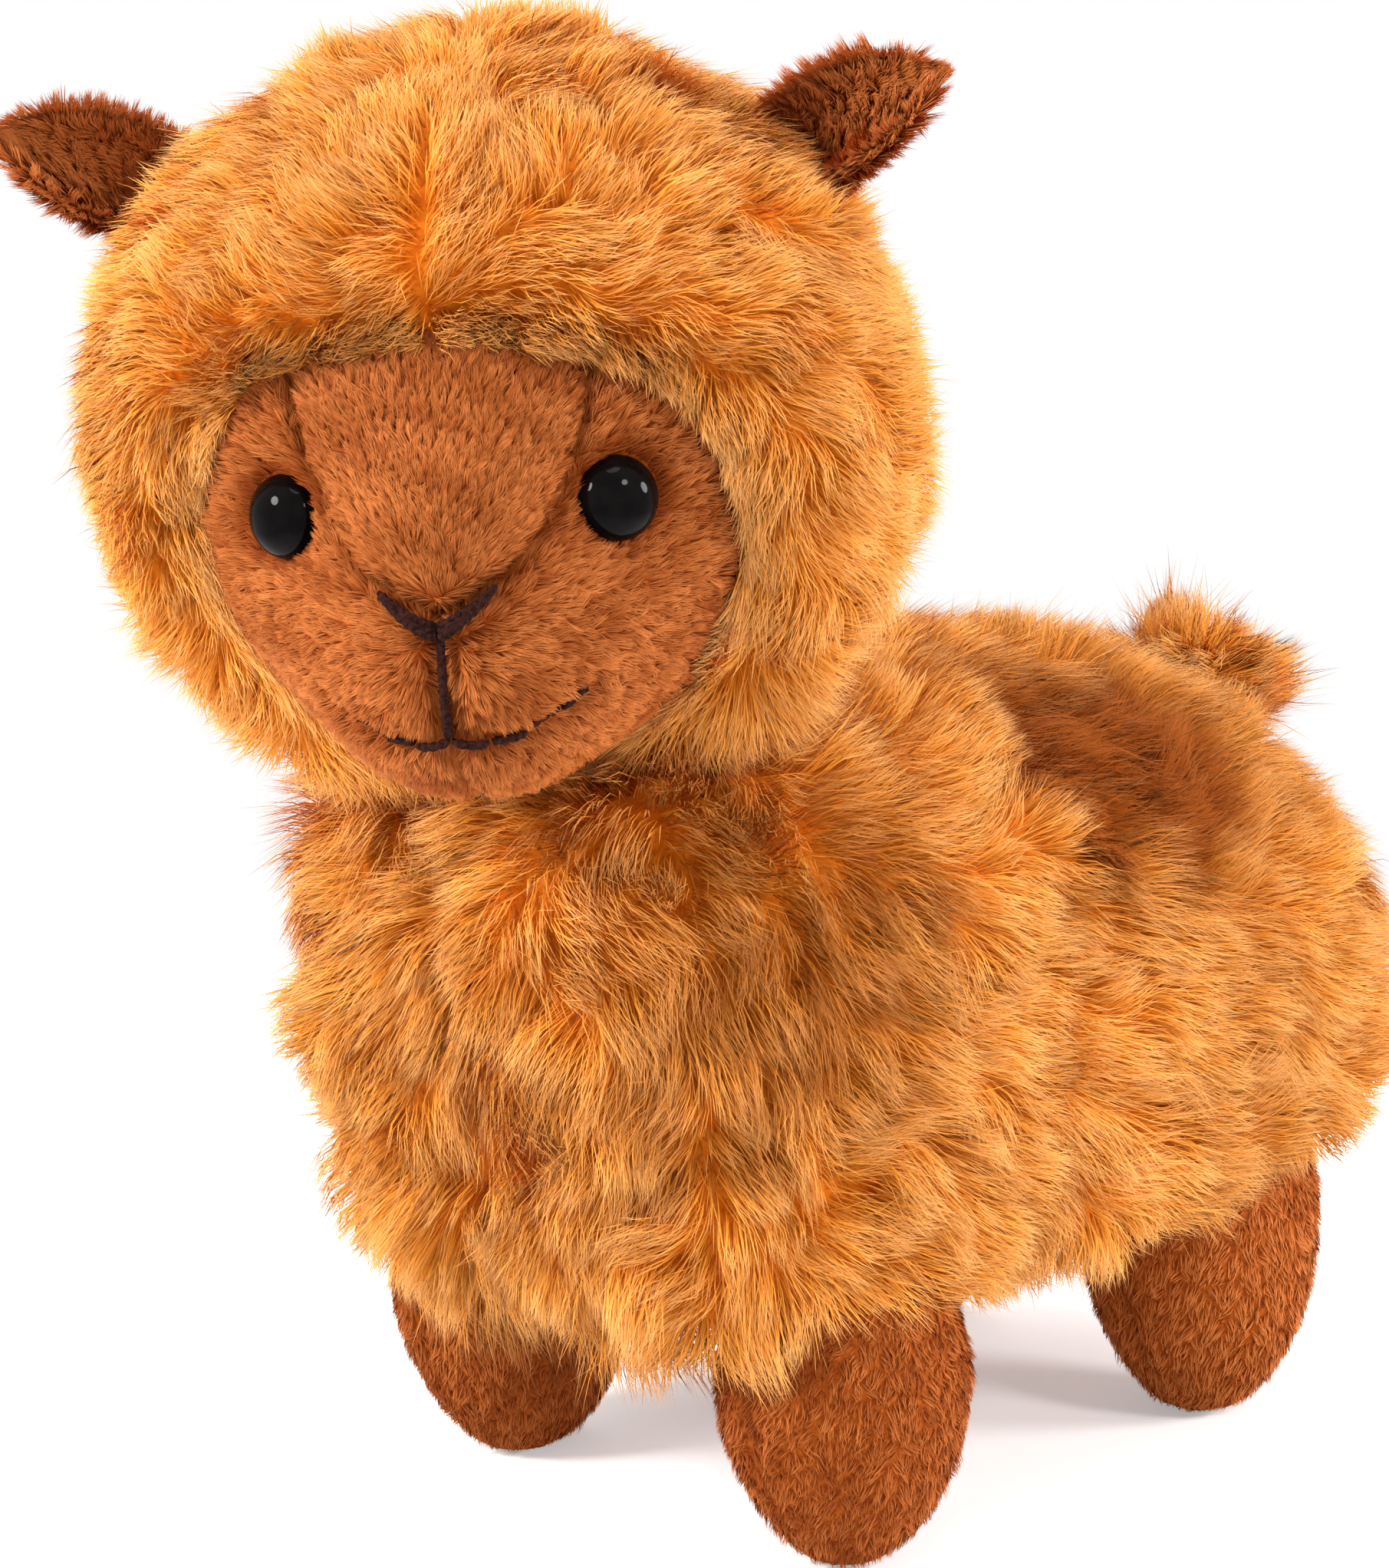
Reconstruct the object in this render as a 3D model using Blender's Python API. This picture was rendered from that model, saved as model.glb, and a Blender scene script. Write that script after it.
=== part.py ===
"""Stuffed toy llama, 20 cm tall, standing, with its head turned to its left.

It is a sewn assembly: long-pile fur panels over the body and head, short-pile panels on the face,
ears and legs, stuffing inside them, plastic eyes held by washers, and a stitched nose and mouth.
Units are metres, +Z is up and the body faces -Y. The llama's own left is +X.
The origin is on the ground, at the middle of the toy's bounding box.
"""
import math

import bmesh
import bpy
import numpy as np
from mathutils import Euler, Vector

MM = 0.001
DEG = math.pi / 180

# Clearances
GAP = 0.3 * MM  # between pieces that touch
SEAM = 0.4 * MM  # between two panels sewn to each other

# Fabrics
FUR_THICKNESS = 10.5 * MM  # backing and brushed pile of the fur
PILE_THICKNESS = 2.6 * MM  # short-pile fabric of the face, ears and legs
TUFT_HEIGHT = 1.3 * MM  # how far the fur's tufts stand in and out
TUFT_SPACING = 17 * MM

# Body, to the outside of the fur, from the middle of the four feet
BODY_HALF_WIDTH = 48.5 * MM
BODY_HALF_LENGTH = 82.5 * MM
BODY_BOTTOM_FRONT = 22 * MM
BODY_BOTTOM_REAR = 36 * MM
BODY_WAIST = 56 * MM  # height of the widest part
BODY_TOP_FRONT = 121 * MM
BODY_TOP_REAR = 108 * MM
BODY_LEAN = 0.22  # how far the chest leans forward as it rises, for each unit of height
PLAN_ROUNDNESS = 0.60  # 1 is an ellipse, less is boxier
CHEST_ROUNDNESS = 0.58  # of the top's section, at the front end and at the rear
RUMP_ROUNDNESS = 0.90
BOTTOM_ROUNDNESS = 0.42
BELLY_HALF_ANGLE = 40 * DEG  # half the belly gusset, seen from the middle of the body
BELLY_END = 30 * DEG  # where the gusset comes to its points, from each end of the body
CREASE_DEPTH = 3.4 * MM  # of the three creases where the body's fur parts
PARTING_SPREAD = 8 * MM  # the parting down the middle of the chest
PARTING_START = 50 * MM  # ahead of the middle of the feet
SHOULDER_CREASE = 19 * MM  # the crease behind the shoulder, ahead of the middle of the feet
SHOULDER_SPREAD = 10 * MM
SHOULDER_TOP = 95 * MM
SADDLE_SIDE = 32 * MM  # the hollow under the ridge of the back, to each side
SADDLE_SPREAD = 15 * MM
SADDLE_BOTTOM = 74 * MM
CREASE_FADE = 18 * MM

# Legs
FRONT_LEGS = (30.5 * MM, -41.5 * MM)  # the left one's place, across and along
REAR_LEGS = (27.5 * MM, 36 * MM)
LEG_HALF_WIDTH = 15.8 * MM
LEG_HALF_DEPTH = 19 * MM
LEG_TOE_HEIGHT = 30 * MM  # height over which the foot rounds in
LEG_TOE_SLOPE = 0.5  # how far the front of the foot slopes back, of its half depth
FOOT_FRONT_SHAPE = (2.2, 1.7)  # powers of the foot's outline, seen from the front
FOOT_SIDE_SHAPE = (2.6, 2.2)  # and from the side
SOLE_FLAT = 1.3 * MM  # how much of the rounded foot is pressed flat

# Head, from its own centre
HEAD_FORWARD = 72 * MM  # ahead of the middle of the feet
HEAD_HEIGHT = 148.5 * MM
HEAD_YAW = 36 * DEG
HEAD_ROLL = -4.5 * DEG
SKULL = (42.5 * MM, 42 * MM, 40.5 * MM)  # half sizes under the fur: across, along, up
NOSE_PITCH = -17.5 * DEG  # the nose's direction, above the horizontal
MUZZLE_MIDDLE = (0, -31 * MM, -22 * MM)  # from the head's centre
MUZZLE_HALF_SIZES = (19 * MM, 21 * MM, 18.5 * MM)
MUZZLE_BLEND = 5 * MM
BRIDGE_BULGE = 3.5 * MM  # ridge from the muzzle to the forehead
BRIDGE_SPREAD = 12.0  # degrees to each side
BRIDGE_RISE = 14.0  # degrees from the nose to the ridge's middle
SOCKET_DEPTH = 2 * MM
SOCKET_SPREAD = 9.0  # degrees
FACE_SIDE = 53.0  # edge of the face, in degrees from the nose
FACE_TOP = 37.0
FACE_BOTTOM = 64.0
FRINGE_RISE = 14.0  # degrees over which the hood's fur reaches its full depth
FRINGE_DEPTH = 0.6  # share of that depth at the edge over the forehead and at the sides
CHIN_DEPTH = 0.1  # and under the chin
GUSSET_HALF_WIDTH = 32.0  # degrees
GUSSET_FLARE = 0.95  # how fast it widens from the nose; 1 is straight out to the sides

# Neck
NECK_RADIUS = 18 * MM
NECK_TOP = (0, -56 * MM, 128 * MM)
NECK_BOTTOM = (0, -46 * MM, 80 * MM)

# Eyes
EYE_SIDE = 29.3  # degrees to the side of the nose
EYE_RISE = 9.5  # degrees above the nose
EYE_RADIUS = 5.2 * MM
EYE_HEIGHT = 4.2 * MM
SHANK_RADIUS = 1.5 * MM
SHANK_LENGTH = 9 * MM
WASHER_RADIUS = 5 * MM
WASHER_THICKNESS = 1.4 * MM

# Stitching, with places in degrees from the nose
THREAD_THICKNESS = 0.9 * MM
THREAD_WIDTH = 1.8 * MM
NOSE_HALF_WIDTH = 8.2
NOSE_RISE = 3.3
MOUTH_DROP = 13.5
MOUTH_HALF_WIDTH = 18.5
MOUTH_SAG = 1.6  # of each half of the mouth

# Ears, in the head's frame
EAR_ROOT = (34.5 * MM, 8 * MM, 25.5 * MM)
EAR_TIP = (57 * MM, -7 * MM, 38 * MM)
EAR_HALF_WIDTH = 11.5 * MM  # of the flat pattern piece
EAR_CUP = 75 * DEG  # how far each edge is folded round
EAR_UNFOLDING = 0.35  # how much of that is lost at the tip
EAR_FACING = (0.15, -0.85, 0.5)
EAR_ROOT_WIDTH = 0.72  # of the full width
EAR_TIP_START = 0.55  # where the tip begins to round in, of the ear's length
EAR_TIP_SHAPE = 2.6  # power of the tip's outline

# Tail
TAIL_HALF_SIZES = (13 * MM, 17 * MM, 12 * MM)
TAIL_BACK = 71 * MM  # behind the middle of the feet
TAIL_HEIGHT = 97 * MM
TAIL_TILT = -22 * DEG

FUR_COLOUR = (0.72, 0.30, 0.07, 1)
SHORT_PILE_COLOUR = (0.40, 0.13, 0.035, 1)
STUFFING_COLOUR = (0.85, 0.85, 0.82, 1)
EYE_COLOUR = (0.008, 0.008, 0.008, 1)
WASHER_COLOUR = (0.75, 0.75, 0.75, 1)
THREAD_COLOUR = (0.05, 0.018, 0.015, 1)


# Materials and small helpers

def clear_scene():
    for obj in list(bpy.data.objects):
        bpy.data.objects.remove(obj)


def make_material(name, colour, roughness):
    made = bpy.data.materials.new(name)
    made.use_nodes = True
    shader = made.node_tree.nodes["Principled BSDF"]
    shader.inputs["Base Color"].default_value = colour
    shader.inputs["Roughness"].default_value = roughness
    shader.inputs["Metallic"].default_value = 0.0
    return made


def make_materials():
    return {
        "fur": make_material("fur", FUR_COLOUR, 0.75),
        "pile": make_material("short_pile", SHORT_PILE_COLOUR, 0.85),
        "stuffing": make_material("stuffing", STUFFING_COLOUR, 0.95),
        "eye": make_material("eye", EYE_COLOUR, 0.08),
        "washer": make_material("washer", WASHER_COLOUR, 0.5),
        "thread": make_material("thread", THREAD_COLOUR, 0.6),
    }


def empty(name, parent=None, location=(0, 0, 0), rotation=(0, 0, 0)):
    obj = bpy.data.objects.new(name, None)
    bpy.context.scene.collection.objects.link(obj)
    obj.parent = parent
    obj.location = location
    obj.rotation_euler = Euler(rotation, "XYZ")
    return obj


def signed_power(value, power):
    return np.sign(value) * np.abs(value) ** power


def smooth_step(value):
    value = np.clip(value, 0, 1)
    return value * value * (3 - 2 * value)


def bell(distance, spread):
    return np.exp(-((distance / spread) ** 2))


def tufts(points):
    """How far the fur's tufts stand out at each point, from -1 to 1, the same on both sides."""
    x, y, z = (points[..., i] / TUFT_SPACING * 2 * math.pi for i in range(3))
    x = np.abs(x)
    first = np.sin(x + 1.7 * np.sin(0.6 * y)) * np.sin(0.9 * y + 1.3 * np.sin(0.7 * z))
    second = np.sin(0.8 * z + 1.1 * np.sin(0.5 * x + 0.4 * y))
    return 0.6 * first + 0.4 * second


# Meshes

def add_object(name, points, faces, material, parent):
    """A mesh object, with coinciding points made one and every face turned outwards."""
    mesh = bpy.data.meshes.new(name)
    mesh.from_pydata([tuple(point) for point in points], [], faces)
    edit = bmesh.new()
    edit.from_mesh(mesh)
    bmesh.ops.remove_doubles(edit, verts=edit.verts, dist=0.02 * MM)
    bmesh.ops.dissolve_degenerate(edit, edges=edit.edges, dist=0.01 * MM)
    bmesh.ops.recalc_face_normals(edit, faces=edit.faces)
    if edit.calc_volume(signed=True) < 0:
        bmesh.ops.reverse_faces(edit, faces=edit.faces)
    edit.to_mesh(mesh)
    edit.free()
    mesh.shade_smooth()
    mesh.set_sharp_from_angle(angle=50 * DEG)
    mesh.materials.append(material)
    obj = bpy.data.objects.new(name, mesh)
    bpy.context.scene.collection.objects.link(obj)
    obj.parent = parent
    return obj


def grid_faces(rows, columns, closed=False, flipped=()):
    """Triangles between the points of a grid. The flipped columns have their diagonals mirrored."""
    faces = []
    for i in range(rows - 1):
        for j in range(columns if closed else columns - 1):
            a = i * columns + j
            b = i * columns + (j + 1) % columns
            c, d = b + columns, a + columns
            faces += [(a, b, d), (b, c, d)] if j in flipped else [(a, b, c), (a, c, d)]
    return faces


def mirrored(grid):
    return grid * (-1, 1, 1)


def full_ring(half):
    """The whole ring of a grid whose columns run up its left half, with the flipped columns."""
    columns = half.shape[1]
    ring = np.concatenate([half, mirrored(half[:, -2:0:-1])], axis=1)
    return ring, range(columns - 1, 2 * columns - 2)


def sewn_half(side, *grids):
    """The left or right half of some grids, moved clear of the seam in the middle."""
    moved = [np.abs(grid[..., 0]) + SEAM / 2 for grid in grids]
    return [np.stack([side * x, grid[..., 1], grid[..., 2]], axis=-1) for x, grid in zip(moved, grids)]


def add_panel(name, outer, inner, material, parent, flipped=()):
    """A sewn panel: the solid between two grids of points, closed along its four edges."""
    rows, columns = outer.shape[:2]
    count = rows * columns
    points = np.concatenate([outer.reshape(-1, 3), inner.reshape(-1, 3)])
    faces = grid_faces(rows, columns, flipped=flipped)
    faces += [tuple(i + count for i in reversed(face)) for face in faces]
    first_row = list(range(columns))
    last_row = [(rows - 1) * columns + j for j in range(columns)]
    first_column = [i * columns for i in range(rows)]
    last_column = [i * columns + columns - 1 for i in range(rows)]
    for edge in (first_row, last_row, first_column, last_column):
        faces += [(a, b, b + count, a + count) for a, b in zip(edge, edge[1:])]
    return add_object(name, points, faces, material, parent)


def add_rings(name, rings, material, parent, flipped=()):
    """A closed solid from rings of points. The two ends are closed by their own middles."""
    bottom = np.broadcast_to(rings[0].mean(axis=0), rings[0].shape)
    top = np.broadcast_to(rings[-1].mean(axis=0), rings[-1].shape)
    rings = np.concatenate([bottom[None], rings, top[None]])
    faces = grid_faces(*rings.shape[:2], closed=True, flipped=flipped)
    return add_object(name, rings.reshape(-1, 3), faces, material, parent)


def circle_steps(count):
    return np.arange(count) * 2 * math.pi / count


def add_turned(name, profile, material, parent, steps=16):
    """A solid turned about Z from (radius, height) points, between two points on the axis."""
    turn = circle_steps(steps)
    rings = [
        np.stack([radius * np.cos(turn), radius * np.sin(turn), 0 * turn + height], axis=-1)
        for radius, height in profile
    ]
    return add_rings(name, np.array(rings), material, parent)


def helper(obj):
    obj.hide_render = True
    obj.display_type = "WIRE"
    return obj


def combine(obj, operation, *others):
    for other in others:
        modifier = obj.modifiers.new(operation.lower() + "_" + other.name, "BOOLEAN")
        modifier.operation = operation
        modifier.solver = "EXACT"
        modifier.object = other
    return obj


# Body, in which a lattice of steps along and around is shared by panels and stuffing, so that
# their facets run parallel

BELLY_COLUMNS = 4  # of the lattice, from the middle of the belly gusset to its edge
SIDE_COLUMNS = 12  # from there up to the back
END_ROWS = 4  # from each end of the body to the gusset's point
MIDDLE_ROWS = 10  # along the gusset


def body_between(front, rear, reach):
    """A value at reach, which is -1 at the chest and 1 at the rump."""
    return front + (rear - front) * (reach + 1) / 2


def body_creases(points):
    """How deep the fur parts at each point, from 0 to 1: on the chest, the shoulder and the back."""
    x, y, z = (points[..., i] for i in range(3))
    parting = bell(x, PARTING_SPREAD) * smooth_step((-y - PARTING_START) / CREASE_FADE)
    shoulder = bell(y + SHOULDER_CREASE, SHOULDER_SPREAD) * smooth_step((SHOULDER_TOP - z) / CREASE_FADE)
    behind = smooth_step((y + SHOULDER_CREASE) / CREASE_FADE)
    saddle = bell(np.abs(x) - SADDLE_SIDE, SADDLE_SPREAD) * smooth_step((z - SADDLE_BOTTOM) / CREASE_FADE)
    return np.maximum(np.maximum(parting, shoulder), saddle * behind)


def body_points(along, around, inset=0.0, tufted=False):
    """Points of the body: along runs from chest, 0, to rump, pi, and around from its left side."""
    along, around = np.broadcast_arrays(along, around)
    ring = np.sin(along) ** PLAN_ROUNDNESS
    reach = -signed_power(np.cos(along), PLAN_ROUNDNESS)
    top = body_between(BODY_TOP_FRONT, BODY_TOP_REAR, reach)
    bottom = body_between(BODY_BOTTOM_FRONT, BODY_BOTTOM_REAR, reach)
    upper = np.sin(around) > 0
    power = np.where(upper, body_between(CHEST_ROUNDNESS, RUMP_ROUNDNESS, reach), BOTTOM_ROUNDNESS)
    half_height = np.where(upper, top - BODY_WAIST, BODY_WAIST - bottom) - inset
    x = (BODY_HALF_WIDTH - inset) * ring * signed_power(np.cos(around), power)
    z = BODY_WAIST + half_height * ring * signed_power(np.sin(around), power)
    y = reach * (BODY_HALF_LENGTH - inset) - BODY_LEAN * (z - BODY_WAIST)
    points = np.stack([x, y, z], axis=-1)
    if tufted:
        away = np.stack([x, reach * BODY_HALF_LENGTH, z - BODY_WAIST], axis=-1)
        away = away / np.linalg.norm(away, axis=-1, keepdims=True)
        relief = TUFT_HEIGHT * tufts(points) - CREASE_DEPTH * body_creases(points)
        points = points + away * (relief * smooth_step((z - bottom) / (6 * MM)))[..., None]
    return points


def belly_edge(along):
    """Half the angle of the belly gusset at a place along the body."""
    share = np.clip((along - BELLY_END) / (math.pi - 2 * BELLY_END), 0, 1)
    return BELLY_HALF_ANGLE * np.sin(math.pi * share) ** 0.6


def body_lattice():
    """Steps along the body and, for each, up its left half: first the gusset's, then the side's."""
    chest = np.linspace(0, BELLY_END, END_ROWS)
    middle = np.linspace(BELLY_END, math.pi - BELLY_END, MIDDLE_ROWS)
    along = np.concatenate([chest[:-1], middle, math.pi - chest[-2::-1]])[:, None]
    edge = belly_edge(along)
    belly = edge * np.linspace(0, 1, BELLY_COLUMNS)[None, :]
    side = edge + (math.pi - edge) * np.linspace(0, 1, SIDE_COLUMNS)[None, 1:]
    return along, np.concatenate([belly, side], axis=1) - math.pi / 2


def build_side_panel(side, name, materials, parent):
    along, around = body_lattice()
    around = around[:, BELLY_COLUMNS - 1 :].copy()
    seam_angle = SEAM / (BODY_WAIST - BODY_BOTTOM_REAR)
    around[:, 0] += seam_angle * (belly_edge(along[:, 0]) > 0)
    outer = body_points(along, around, tufted=True)
    inner = body_points(along, around, inset=FUR_THICKNESS)
    return add_panel(name, *sewn_half(side, outer, inner), materials["fur"], parent)


def build_belly_panel(materials, parent):
    along, around = body_lattice()
    rows = np.abs(along[:, 0] - math.pi / 2) < math.pi / 2 - BELLY_END + 0.5 * DEG
    along, around = along[rows], around[rows, :BELLY_COLUMNS]
    grids = []
    for inset, tufted in ((0.0, True), (FUR_THICKNESS, False)):
        half = body_points(along, around, inset, tufted)
        grids.append(np.concatenate([half[:, ::-1], mirrored(half[:, 1:])], axis=1))
    return add_panel("belly_panel", *grids, materials["fur"], parent, range(BELLY_COLUMNS - 1))


def build_body_ball(name, inset, material, parent, tufted=False):
    ring, flipped = full_ring(body_points(*body_lattice(), inset, tufted))
    return add_rings(name, ring, material, parent, flipped)


# Legs

LEG_ROWS = 8
LEG_CROWDING = 1.5  # crowds the rows towards the foot


def leg_points(height, around, inset=0.0):
    """Points of a leg around its own middle: a stuffed sock, rounded in at the foot."""
    height, around = np.broadcast_arrays(height, around)
    fall = 1 - np.clip((height + SOLE_FLAT) / LEG_TOE_HEIGHT, 0, 1)
    width, depth = (
        (1 - fall**power) ** (1 / root) for power, root in (FOOT_FRONT_SHAPE, FOOT_SIDE_SHAPE)
    )
    x = (LEG_HALF_WIDTH - inset) * width * np.cos(around)
    y = (LEG_HALF_DEPTH - inset) * depth * np.sin(around)
    y = y * (1 - LEG_TOE_SLOPE * fall**2 * (y < 0))
    return np.stack([x, y, np.maximum(height, 0)], axis=-1)


def leg_heights(top):
    """Heights of a leg's rows: the middle of the sole, its edge, and then up to the top."""
    above = top * np.linspace(0, 1, LEG_ROWS - 1) ** LEG_CROWDING
    return np.concatenate([[-SOLE_FLAT], above])[:, None]


def raised(points, lift, top):
    """Lifts the foot end of a leg's points by lift, and its top end not at all."""
    points = points.copy()
    points[..., 2] += lift * (1 - points[..., 2] / top)
    return points


def build_leg(name, x, y, materials, toy):
    """A leg's outer and inner cover and its stuffing. Returns the cutter for its opening."""
    parent = empty(name, toy, (x, y, 0))
    lean = BODY_LEAN * (BODY_WAIST - BODY_BOTTOM_FRONT)
    reach = (y - LEG_HALF_DEPTH - lean) / BODY_HALF_LENGTH
    top = body_between(BODY_BOTTOM_FRONT, BODY_BOTTOM_REAR, reach) + FUR_THICKNESS - GAP
    around = np.linspace(-math.pi / 2, math.pi / 2, 7)[None, :]
    heights = leg_heights(top)
    outer = leg_points(heights, around)
    inner = raised(leg_points(heights, around, inset=PILE_THICKNESS), PILE_THICKNESS, top)
    for side in (1, -1):
        word = "outer" if side * x > 0 else "inner"
        add_panel(f"{name}_{word}_panel", *sewn_half(side, outer, inner), materials["pile"], parent)
    inset = PILE_THICKNESS + 2 * GAP
    stuffing, flipped = full_ring(raised(leg_points(heights, around, inset), inset, top))
    add_rings(f"{name}_stuffing", stuffing, materials["stuffing"], parent, flipped)
    opening, _ = full_ring(leg_points(leg_heights(top + GAP), around, inset=-GAP - SEAM / 2))
    opening[0, :, 2] -= GAP
    return helper(add_rings(f"{name}_opening", opening, materials["pile"], parent))


# Head, in its own frame. Places on it are polar: spread is the angle from the nose's direction
# and turn is measured from the head's left, upwards, both in degrees. Its lattice is shared by
# panels and stuffing, as the body's is

CHEEK_COLUMNS = 8  # of the lattice, from under the chin to the gusset's seam
GUSSET_COLUMNS = 4  # from the seam to the middle of the forehead
FACE_ROWS = 10  # from the nose out to the hood
HOOD_ROWS = 11  # from the hood's edge to the back of the head
NOSE_HOLE = 2.5  # degrees from the nose at which the face's pieces begin
HOOD_CROWDING = 1.15  # crowds the rows towards the face
FACE_PASSES = 12  # the lattice's turns and spreads depend on each other


def head_direction(spread, turn):
    spread, turn = np.radians(spread), np.radians(turn)
    across = np.sin(spread) * np.cos(turn)
    rise = np.sin(spread) * np.sin(turn)
    ahead = np.cos(spread)
    forward = np.array([0, -math.cos(NOSE_PITCH), math.sin(NOSE_PITCH)])
    upward = np.array([0, math.sin(NOSE_PITCH), math.cos(NOSE_PITCH)])
    left = np.array([1.0, 0, 0])
    return across[..., None] * left + rise[..., None] * upward + ahead[..., None] * forward


def ellipsoid_reach(away, middle, half_sizes):
    """How far each direction from the head's centre leads before it leaves an ellipsoid."""
    away = away / np.array(half_sizes)
    middle = np.array(middle) / np.array(half_sizes)
    square = (away**2).sum(axis=-1)
    along = (away * middle).sum(axis=-1)
    inside = along**2 - square * ((middle**2).sum() - 1)
    return (along + np.sqrt(np.maximum(inside, 0))) / square


def skull_radius(spread, turn):
    """Distance from the head's centre to the fabric, without the fur."""
    spread, turn = np.broadcast_arrays(spread, turn)
    away = head_direction(spread, turn)
    radius = 1 / np.sqrt(sum((away[..., i] / SKULL[i]) ** 2 for i in range(3)))
    across = spread * np.cos(np.radians(turn))
    rise = spread * np.sin(np.radians(turn))
    muzzle = ellipsoid_reach(away, MUZZLE_MIDDLE, MUZZLE_HALF_SIZES)
    radius = (radius + muzzle + np.hypot(radius - muzzle, MUZZLE_BLEND)) / 2
    radius = radius + BRIDGE_BULGE * bell(across, BRIDGE_SPREAD) * bell(rise - BRIDGE_RISE, BRIDGE_RISE)
    socket = np.hypot(np.abs(across) - EYE_SIDE, rise - EYE_RISE)
    return radius - SOCKET_DEPTH * bell(socket, SOCKET_SPREAD)


def face_edge(turn):
    """Degrees from the nose to the edge of the face."""
    turn = np.radians(turn)
    tall = np.where(np.sin(turn) > 0, FACE_TOP, FACE_BOTTOM)
    return 1 / np.sqrt((np.cos(turn) / FACE_SIDE) ** 2 + (np.sin(turn) / tall) ** 2)


def head_points(spread, turn, depth):
    """Points at a depth, positive outwards, from the fabric's surface."""
    spread, turn = np.broadcast_arrays(spread, turn)
    return head_direction(spread, turn) * (skull_radius(spread, turn) + depth)[..., None]


def head_normal(spread, turn, step=2.0):
    """Direction out of the fabric at a place, from points step degrees to each side of it."""
    outwards = head_points(spread + step, turn, 0.0) - head_points(spread - step, turn, 0.0)
    round_about = head_points(spread, turn + step, 0.0) - head_points(spread, turn - step, 0.0)
    normal = np.cross(outwards, round_about)
    return normal / np.linalg.norm(normal)


def fur_points(spread, turn, grow=0.0, fringe=True):
    """Points of the outside of the head's fur, which stands up from the edge of the face."""
    spread, turn = np.broadcast_arrays(spread, turn)
    full = smooth_step((spread - face_edge(turn)) / FRINGE_RISE) if fringe else 1.0
    above = smooth_step(0.8 + np.sin(np.radians(turn)))
    at_edge = CHIN_DEPTH + (FRINGE_DEPTH - CHIN_DEPTH) * above
    points = head_points(spread, turn, FUR_THICKNESS * (at_edge + (1 - at_edge) * full) + grow)
    away = head_direction(spread, turn)
    return points + away * (tufts(points) * TUFT_HEIGHT)[..., None]


def gusset_turn(spread):
    """Turn of the seam between the face's centre piece and the left cheek."""
    half_width = GUSSET_HALF_WIDTH * np.tanh(GUSSET_FLARE * spread / GUSSET_HALF_WIDTH)
    return np.degrees(np.arccos(half_width / spread))


def seam_turn(spread, width):
    return np.degrees(width / (SKULL[0] * np.sin(np.radians(spread))))


def face_lattice():
    """Spread and turn of the face's points, from the nose out and up the left half of the face."""
    share = np.linspace(0, 1, FACE_ROWS)[:, None]
    cheek = np.linspace(0, 1, CHEEK_COLUMNS)[None, :]
    gusset = np.linspace(0, 1, GUSSET_COLUMNS)[None, 1:]
    turn = np.full((FACE_ROWS, CHEEK_COLUMNS + GUSSET_COLUMNS - 1), 45.0)
    for _ in range(FACE_PASSES):
        spread = NOSE_HOLE + (face_edge(turn) - NOSE_HOLE) * share
        seam = gusset_turn(spread)
        low = -90 + (seam + 90)[:, :CHEEK_COLUMNS] * cheek
        high = seam[:, CHEEK_COLUMNS:] + (90 - seam[:, CHEEK_COLUMNS:]) * gusset
        turn = np.concatenate([low, high], axis=1)
    return spread, turn


def hood_lattice():
    """Spread and turn of the hood's points, from the edge of the face to the back of the head."""
    spread, turn = (grid[-1:] for grid in face_lattice())
    share = np.linspace(0, 1, HOOD_ROWS)[:, None] ** HOOD_CROWDING
    return spread + (180 - spread) * share, np.broadcast_to(turn, (HOOD_ROWS, turn.shape[1]))


def build_hood_panel(side, name, materials, parent):
    spread, turn = hood_lattice()
    outer = fur_points(spread, turn)
    inner = head_points(spread, turn, -PILE_THICKNESS)
    return add_panel(name, *sewn_half(side, outer, inner), materials["fur"], parent)


def build_face(materials, parent):
    """The centre piece and the two cheeks, each short of its seams and of the hood."""
    spread, turn = face_lattice()
    spread[-1] -= np.degrees(GAP / SKULL[0])
    pile = materials["pile"]
    cheek = slice(0, CHEEK_COLUMNS)
    spread_here, turn_here = spread[:, cheek], turn[:, cheek].copy()
    turn_here[:, -1] -= seam_turn(spread_here[:, -1], SEAM / 2)
    grids = [head_points(spread_here, turn_here, depth) for depth in (0.0, -PILE_THICKNESS)]
    pieces = [
        add_panel("left_cheek_panel", *sewn_half(1, *grids), pile, parent),
        add_panel("right_cheek_panel", *sewn_half(-1, *grids), pile, parent),
    ]
    gusset = slice(CHEEK_COLUMNS - 1, None)
    spread_here, turn_here = spread[:, gusset], turn[:, gusset].copy()
    turn_here[:, 0] += seam_turn(spread_here[:, 0], SEAM / 2)
    grids = []
    for depth in (0.0, -PILE_THICKNESS):
        half = head_points(spread_here, turn_here, depth)
        grids.append(np.concatenate([half, mirrored(half[:, -2::-1])], axis=1))
    columns = range(GUSSET_COLUMNS - 1, 2 * GUSSET_COLUMNS - 2)
    return pieces + [add_panel("face_centre_panel", *grids, pile, parent, columns)]


def build_head_ball(name, points_at, material, parent):
    """A closed solid round the head, from a function of spread and turn."""
    spread, turn = (np.concatenate([face, hood[1:]]) for face, hood in zip(face_lattice(), hood_lattice()))
    ring, flipped = full_ring(points_at(spread, turn))
    return add_rings(name, ring, material, parent, flipped)


# Eyes

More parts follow.
